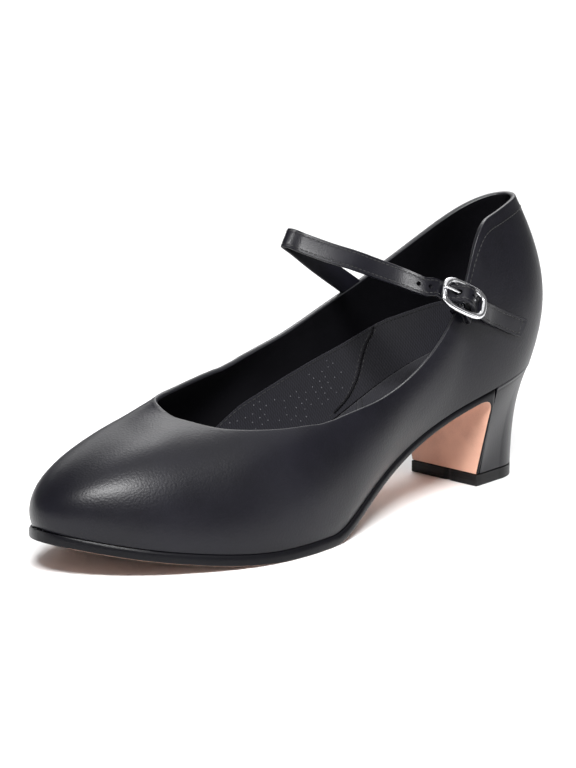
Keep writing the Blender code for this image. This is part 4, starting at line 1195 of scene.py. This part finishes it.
sock_knit = knit_finish("sock_knit", (0.0115, 0.0113, 0.0155), 380.0)
heel_knit = knit_finish("heel_sock_knit", (0.0105, 0.0103, 0.0145), 560.0)
front_top = sock("forefoot_sock", forefoot_along, sock_knit, "insole_forefoot")
back_top = sock("heel_sock", heel_along, heel_knit, "insole_heel")
stitch_row("sock_stitches", [front_top[3, 2:-2] + (0, 0, 0.00005), back_top[3, 2:-2] + (0, 0, 0.00005)],
           pitch=0.0020, thread=FINE_THREAD)
# Punched field of the forepart sock, in every fourth row and column of its top
holes = front_top[8:70:4, 4:-4:4].reshape(-1, 3) + (0, 0, 0.00004)
pinholes("sock_pinholes", holes, np.tile((0, 0, 1.0), (len(holes), 1)))


# Strap
# Folded black leather strap, edges turned and stitched down both sides and round its cut tip.
# Its foot is sewn in between the inner quarter's leather and lining; three holes are punched in it.
STRAP_ROOT_WIDTH = 0.0086
STRAP_WIDTH = 0.0075
STRAP_TIP_SLANT = 0.30
STRAP_THICKNESS = 0.0016
HOLE_DIAMETER = 0.0018
HOLE_PITCH = 0.0046
BUCKLE_LENGTH = 0.0200
BUCKLE_BAND = 0.0025
BUCKLE_THICKNESS = 0.0018
BUCKLE_PLAY = 0.0007
BUCKLE_SQUARENESS = 0.60
BAR_DIAMETER = 0.0015
PRONG_DIAMETER = 0.0012
STRAP_STEPS = 520
SEAM_INSET = 0.0012
# Punched holes, counted along the strap from the one that the prong sits in
HOLE_NUMBERS = (-5, -4, 0)
HOLE_SHIFT = 0.35
STRAP_COLOUR = (0.0052, 0.0050, 0.0080)

# Free arch of the strap: along, across and rise in shares, then the direction of its upper edge
STRAP_ARCH = (
    # along, across, up, edge_across, edge_back, edge_up
    (0.364, -0.305, 0.997, -0.02, 0.66, 0.75),
    (0.404, -0.332, 1.181, -0.13, 0.62, 0.78),
    (0.420, -0.343, 1.256, -0.13, 0.62, 0.78),
    (0.418, -0.322, 1.255, -0.13, 0.62, 0.78),
    (0.404, -0.282, 1.203, -0.11, 0.61, 0.79),
    (0.384, -0.171, 1.122, -0.06, 0.56, 0.83),
    (0.369, -0.049, 1.063, -0.02, 0.53, 0.85),
    (0.360, 0.086, 1.012, -0.06, 0.52, 0.85),
    (0.348, 0.211, 0.954, -0.16, 0.52, 0.84),
    (0.330, 0.290, 0.885, -0.28, 0.56, 0.78),
)
STRAP_FOOT_TURN = 0.833
BUCKLE_PLACE = (0.275, 0.384, 0.733)
BUCKLE_RUN = (0.41, 0.79, -0.46)
BUCKLE_EDGE = (-0.42, 0.49, 0.76)

# Tail on the outer quarter: ring turn, height on the wall, how far off the leather
STRAP_TAIL = (
    # turn, height, stand_off
    (0.115, 0.575, 0.0020),
    (0.103, 0.480, 0.0007),
    (0.091, 0.400, 0.0003),
    (0.080, 0.340, 0.0003),
)


def open_spline(points, count):
    """Smooth path through points, as evenly spaced samples."""
    points = np.asarray(points, float)
    chords = np.linalg.norm(np.diff(points, axis=0), axis=1)
    knots = np.concatenate([[0], np.cumsum(np.sqrt(chords))])
    padded = np.vstack([2 * points[0] - points[1], points, 2 * points[-1] - points[-2]])
    widths = np.concatenate([[knots[1]], np.diff(knots), [knots[-1] - knots[-2]]])
    fine = []
    for k in range(len(points) - 1):
        a, b, c, d = padded[k:k + 4]
        w0, w1, w2 = widths[k:k + 3]
        start = w1 * ((b - a) / w0 - (c - a) / (w0 + w1) + (c - b) / w1)
        end = w1 * ((c - b) / w1 - (d - b) / (w1 + w2) + (d - c) / w2)
        t = np.linspace(0, 1, 25)[:-1, None]
        fine.append((1 + 2 * t) * (1 - t) ** 2 * b + t * (1 - t) ** 2 * start
                    + t * t * (3 - 2 * t) * c - t * t * (1 - t) * end)
    fine = np.vstack(fine + [points[-1:]])
    run = np.concatenate([[0], np.cumsum(np.linalg.norm(np.diff(fine, axis=0), axis=1))])
    even = np.linspace(0, run[-1], count)
    return np.stack([np.interp(even, run, fine[:, k]) for k in range(fine.shape[1])], axis=1)


def shoe_point(along, across, rise):
    """World point from shares of the driving sizes."""
    along = along * LENGTH
    return place(along, across * BALL_WIDTH, floor_height(along) + rise * COLLAR_HEIGHT)


def buckle_frame_axes():
    """Centre of the buckle with its run, edge and outward directions."""
    run = unit(BUCKLE_RUN)
    edge = np.asarray(BUCKLE_EDGE) - np.dot(BUCKLE_EDGE, run) * run
    edge = unit(edge)
    return shoe_point(*BUCKLE_PLACE), run, edge, unit(np.cross(run, edge))


def rim_axes(turn):
    """Middle of the upper's rim with its run backwards, its climb off the wall and its outward side."""
    rim = upper_point(turn, 1.0, -WALL / 2)[0]
    run = unit(upper_surface(turn + 0.003, 1.0)[0] - upper_surface(turn - 0.003, 1.0)[0])
    run = run if run[1] > 0 else -run
    outward = upper_normal(turn, 1.0)[0]
    climb = unit(np.cross(run, outward))
    climb = climb if climb[2] > 0 else -climb
    return rim, run, climb, outward


def bar_hug():
    """Distance from the bar's axis to the middle of the strap that passes over it."""
    return BAR_DIAMETER / 2 + CLEARANCE + PRONG_DIAMETER + CLEARANCE + STRAP_THICKNESS / 2


def strap_path():
    """Centre line of the strap and the direction of its upper edge, from its foot to its tail."""
    centre, run, edge, outward = buckle_frame_axes()
    rim, rim_run, climb, _ = rim_axes(STRAP_FOOT_TURN)
    foot = rim + climb * (CLEARANCE * 1.6)
    points = [foot]
    edges = [rim_run]
    for row in STRAP_ARCH:
        points.append(shoe_point(*row[0:3]))
        edges.append(np.array(row[3:6]))
    under = -(BUCKLE_THICKNESS / 2 + CLEARANCE + STRAP_THICKNESS / 2)
    side = (BUCKLE_LENGTH - BUCKLE_BAND) / 2
    hug = bar_hug()
    threading = [(-side * 1.35, under * 0.9), (-side * 1.03, under * 1.03), (-side * 0.78, under)]
    for angle in np.radians((145, 118, 90, 62, 35)):
        threading.append((hug * math.cos(angle), hug * math.sin(angle)))
    threading += [(side * 0.78, under), (side * 1.03, under * 1.03)]
    for along_run, level in threading:
        points.append(centre + run * along_run + outward * level)
        edges.append(edge)
    for turn, height, stand_off in STRAP_TAIL:
        normal = upper_normal(turn, height)[0]
        points.append(upper_point(turn, height, stand_off + STRAP_THICKNESS / 2)[0])
        edges.append(np.cross(normal, run))
    rows = open_spline(np.hstack([np.array(points), np.array(edges) * 0.01]), STRAP_STEPS)
    return rows[:, 0:3], rows[:, 3:6]


def band_axes(path, edges):
    """Unit run, upper edge direction and outward face of a band at every point of its path."""
    runs = np.gradient(path, axis=0)
    runs /= np.linalg.norm(runs, axis=1)[:, None]
    sides = edges - np.sum(edges * runs, axis=1)[:, None] * runs
    sides /= np.linalg.norm(sides, axis=1)[:, None]
    return runs, sides, np.cross(runs, sides)


def band(name, path, edges, widths, thickness, material, slants, seam_inset):
    """Leather band with rounded edges and a shallow groove where its seams lie."""
    runs, sides, normals = band_axes(path, edges)
    widths = np.broadcast_to(widths, len(path))
    deep = thickness / 2
    rings = []
    for point, run, side, normal, width, slant in zip(path, runs, sides, normals, widths, slants):
        half = width / 2
        groove = half - seam_inset
        outline_points = []
        for across in np.linspace(-0.94, 0.94, 17) * half:
            dip = 0.10 * math.exp(-((abs(across) - groove) / 0.00032) ** 2)
            swell = 0.05 * (1 - (across / half) ** 2)
            outline_points.append((across, deep * (0.95 - dip + swell)))
        for angle in np.linspace(70, -70, 6):
            turn = math.radians(angle)
            outline_points.append((half - deep * 0.45 + deep * 0.45 * math.cos(turn), deep * math.sin(turn)))
        for across in np.linspace(0.9, -0.9, 9) * half:
            outline_points.append((across, -deep * 0.97))
        for angle in np.linspace(250, 110, 6):
            turn = math.radians(angle)
            outline_points.append((-half + deep * 0.45 + deep * 0.45 * math.cos(turn), deep * math.sin(turn)))
        rings.append(np.array([point + across * (side + slant * run) + out * normal
                               for across, out in outline_points]))
    return ring_piece(name, rings, material, sharp=50)


def punch(piece, start, end, diameter):
    """Cuts a round hole through a piece and leaves a plain mesh."""
    axis = Vector(end) - Vector(start)
    work = bmesh.new()
    bmesh.ops.create_cone(work, cap_ends=True, segments=28, radius1=diameter / 2, radius2=diameter / 2,
                          depth=axis.length)
    bmesh.ops.rotate(work, verts=work.verts, matrix=axis.to_track_quat("Z", "Y").to_matrix())
    bmesh.ops.translate(work, verts=work.verts, vec=(Vector(start) + Vector(end)) / 2)
    mesh = bpy.data.meshes.new("punch")
    work.to_mesh(mesh)
    work.free()
    tool = bpy.data.objects.new("punch", mesh)
    bpy.context.scene.collection.objects.link(tool)
    cut = piece.modifiers.new("cut", "BOOLEAN")
    cut.operation = "DIFFERENCE"
    cut.solver = "EXACT"
    cut.object = tool
    ready = piece.evaluated_get(bpy.context.evaluated_depsgraph_get())
    mesh = bpy.data.meshes.new_from_object(ready)
    piece.modifiers.remove(cut)
    piece.data = mesh
    bpy.data.objects.remove(tool)


path, edges = strap_path()
share = np.linspace(0, 1, STRAP_STEPS)
widths = STRAP_ROOT_WIDTH + (STRAP_WIDTH - STRAP_ROOT_WIDTH) * np.clip(share / 0.6, 0, 1)
slants = STRAP_TIP_SLANT * np.clip((share - 0.96) / 0.04, 0, 1)
drift = float(np.dot(rim_axes(STRAP_FOOT_TURN)[1], unit(path[1] - path[0])))
slants += drift / math.sqrt(1 - drift * drift) * np.clip(1 - share / 0.05, 0, 1)
strap_leather = leather_finish("strap_leather", STRAP_COLOUR, 0.36, 1900.0, scuff=0.08)
strap = band("strap_leather", path, edges, widths, STRAP_THICKNESS, strap_leather, slants, SEAM_INSET)
runs, sides, normals = band_axes(path, edges)
centre, buckle_run, buckle_side, buckle_out = buckle_frame_axes()
travel = np.concatenate([[0], np.cumsum(np.linalg.norm(np.diff(path, axis=0), axis=1))])
near = np.linalg.norm(path - centre, axis=1) < BUCKLE_LENGTH
bar_at = travel[near][np.argmin(np.abs(np.dot(path - centre, buckle_run)[near]))]
for number in HOLE_NUMBERS:
    k = int(np.argmin(np.abs(travel - bar_at - HOLE_PITCH * (number + HOLE_SHIFT))))
    reach = normals[k] * STRAP_THICKNESS * 1.2
    punch(strap, path[k] - reach, path[k] + reach, HOLE_DIAMETER)
prong_line = centre + buckle_out * (BAR_DIAMETER / 2 + CLEARANCE + PRONG_DIAMETER / 2)
punch(strap, prong_line - buckle_run * BUCKLE_LENGTH * 0.36, prong_line - buckle_run * BAR_DIAMETER * 0.6,
      PRONG_DIAMETER + CLEARANCE * 5)
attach(strap, "root")
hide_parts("strap")
face_level = STRAP_THICKNESS / 2 * 0.93
seam_half = (widths / 2 - SEAM_INSET)[:, None]
last = STRAP_STEPS - 8
upper_seam = path + sides * seam_half + normals * face_level + runs * (slants * seam_half[:, 0])[:, None]
lower_seam = path - sides * seam_half + normals * face_level - runs * (slants * seam_half[:, 0])[:, None]
stitch_row("strap_stitches", [np.vstack([upper_seam[6:last], lower_seam[last - 1:5:-1]])],
           pitch=0.0019, thread=0.00044)


# Buckle
# Cast oval ring with a bar across its middle, polished and nickel plated.
# A curled wire prong turns on the bar and rests on the side of the ring.
RING_SECTIONS = 200
RING_SIDES = 20
WIRE_SIDES = 16


def nickel_finish():
    """Polished nickel with hairline polishing marks and a faint cast."""
    material, shader, spot = start_finish("polished_nickel")
    marks = node(material, "ShaderNodeTexNoise", None, {"Vector": spot, "Scale": 1500.0, "Detail": 4.0})
    tone = node(material, "ShaderNodeValToRGB",
                {"stops": ((0.3, (0.74, 0.74, 0.76)), (0.7, (0.86, 0.86, 0.88)))}, {"Fac": marks})
    join(material, tone, shader.inputs["Base Color"])
    join(material, 0.10 + marks * 0.12, shader.inputs["Roughness"])
    bump = node(material, "ShaderNodeBump", None, {"Strength": 0.08, "Distance": 0.00003, "Height": marks})
    join(material, bump, shader.inputs["Normal"])
    shader.inputs["Metallic"].default_value = 1.0
    return material


def wire(route, diameter, sides, across):
    """Rings of a round wire along a route, with a rounded end at each side."""
    route = np.asarray(route, float)
    runs = np.gradient(route, axis=0)
    runs /= np.linalg.norm(runs, axis=1)[:, None]
    rings = []
    for point, run in zip(route, runs):
        out = unit(np.cross(across, run))
        rings.append(np.array([point + diameter / 2 * (math.cos(a) * across + math.sin(a) * out)
                               for a in np.linspace(0, 2 * math.pi, sides + 1)[:-1]]))
    caps = []
    for end, run, sign in ((0, runs[0], -1), (-1, runs[-1], 1)):
        caps.append([route[end] + (rings[end] - route[end]) * shrink + run * sign * diameter / 2 * push
                     for shrink, push in ((0.87, 0.5), (0.5, 0.87), (0.12, 0.99))])
    return caps[0][::-1] + rings + caps[1]


nickel = nickel_finish()
half_length = (BUCKLE_LENGTH - BUCKLE_BAND) / 2
half_width = STRAP_WIDTH / 2 + BUCKLE_PLAY + BUCKLE_BAND / 2
rings = []
for k in range(RING_SECTIONS):
    angle = 2 * math.pi * k / RING_SECTIONS
    cosine = math.copysign(abs(math.cos(angle)) ** BUCKLE_SQUARENESS, math.cos(angle))
    sine = math.copysign(abs(math.sin(angle)) ** BUCKLE_SQUARENESS, math.sin(angle))
    point = centre + buckle_run * half_length * cosine + buckle_side * half_width * sine
    away = unit(buckle_run * cosine * half_width + buckle_side * sine * half_length)
    around = 2 * math.pi * np.arange(RING_SIDES) / RING_SIDES
    rings.append(np.array([point + away * math.cos(a) * BUCKLE_BAND / 2
                           + buckle_out * math.sin(a) * BUCKLE_THICKNESS / 2 for a in around]))
oval = ring_piece("buckle_ring", rings, nickel, closed_path=True)
bar_ends = half_width - BUCKLE_BAND * 0.2
bar_route = [centre + buckle_side * s for s in np.linspace(-bar_ends, bar_ends, 12)]
bar = ring_piece("buckle_bar", wire(bar_route, BAR_DIAMETER, WIRE_SIDES, buckle_run), nickel)
for piece in (oval, bar):
    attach(piece, "root")
    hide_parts("buckle_frame")

radius = BAR_DIAMETER / 2 + CLEARANCE + PRONG_DIAMETER / 2
route = [centre + buckle_run * radius * math.cos(a) + buckle_out * radius * math.sin(a)
         for a in np.radians(np.arange(-150, 91, 8))]
rest = BUCKLE_THICKNESS / 2 + CLEARANCE + PRONG_DIAMETER / 2
knee = [centre + buckle_run * half_length * s + buckle_out * r
        for s, r in ((-0.35, radius), (-0.7, rest), (-1.0, rest), (-1.12, rest))]
route = open_spline(np.array(route[::3] + knee), 70)
prong = ring_piece("prong_wire", wire(route, PRONG_DIAMETER, WIRE_SIDES, buckle_side), nickel)
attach(prong, "root")
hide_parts("buckle_prong")


# Anchor tab
# Soft leather loop sewn inside the outer collar, folded over the rim and round the buckle's bar.
# It hangs in a slack fold under the buckle.
TAB_WIDTH = 0.0066
TAB_THICKNESS = 0.0011
TAB_STEPS = 200
TAB_INSIDE = ((0.1275, 0.65), (0.1363, 0.79), (0.1438, 0.92))
TAB_TURN = 0.1475
TAB_FOLD = (
    # turn, height, stand-off from the leather, and how far the tab has turned to the buckle
    (0.1440, 0.925, 0.0015, 0.0),
    (0.1412, 0.850, 0.0016, 0.0),
    (0.1396, 0.800, 0.0023, 0.1),
    (0.1412, 0.825, 0.0034, 0.3),
    (0.1445, 0.890, 0.0039, 0.6),
)

rim, rim_run, climb, rim_side = rim_axes(TAB_TURN)
gap = CLEARANCE + TAB_THICKNESS / 2
points = [upper_point(turn, height, -WALL - gap - CLEARANCE)[0] for turn, height in TAB_INSIDE]
walls = [upper_normal(turn, height)[0] for turn, height in TAB_INSIDE]
edges = [unit(rim_run - np.dot(rim_run, wall) * wall) for wall in walls]
across = WALL / 2 + gap
for angle in np.radians((165, 125, 90, 55, 15)):
    points.append(rim + rim_side * across * math.cos(angle) + climb * (across * 0.9) * math.sin(angle))
    edges.append(rim_run)
for turn, height, stand_off, twist in TAB_FOLD:
    points.append(upper_point(turn, height, stand_off)[0])
    edges.append(rim_run * (1 - twist) + buckle_side * twist)
radius = BAR_DIAMETER / 2 + gap
for angle in np.radians((-80, -110, -145, -180, -215, -250, -275)):
    points.append(centre + buckle_run * radius * math.cos(angle) + buckle_out * radius * math.sin(angle))
    edges.append(buckle_side)
rows = open_spline(np.hstack([np.array(points), np.array(edges) * 0.01]), TAB_STEPS)
tab = band("tab_leather", rows[:, 0:3], rows[:, 3:6], TAB_WIDTH, TAB_THICKNESS, strap_leather,
           np.zeros(TAB_STEPS), SEAM_INSET)
half = PRONG_DIAMETER / 2 + CLEARANCE
punch(tab, centre - buckle_side * half, centre + buckle_side * half, (radius + TAB_THICKNESS) * 2)
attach(tab, "root")
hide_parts("anchor_tab")


bpy.context.view_layer.update()
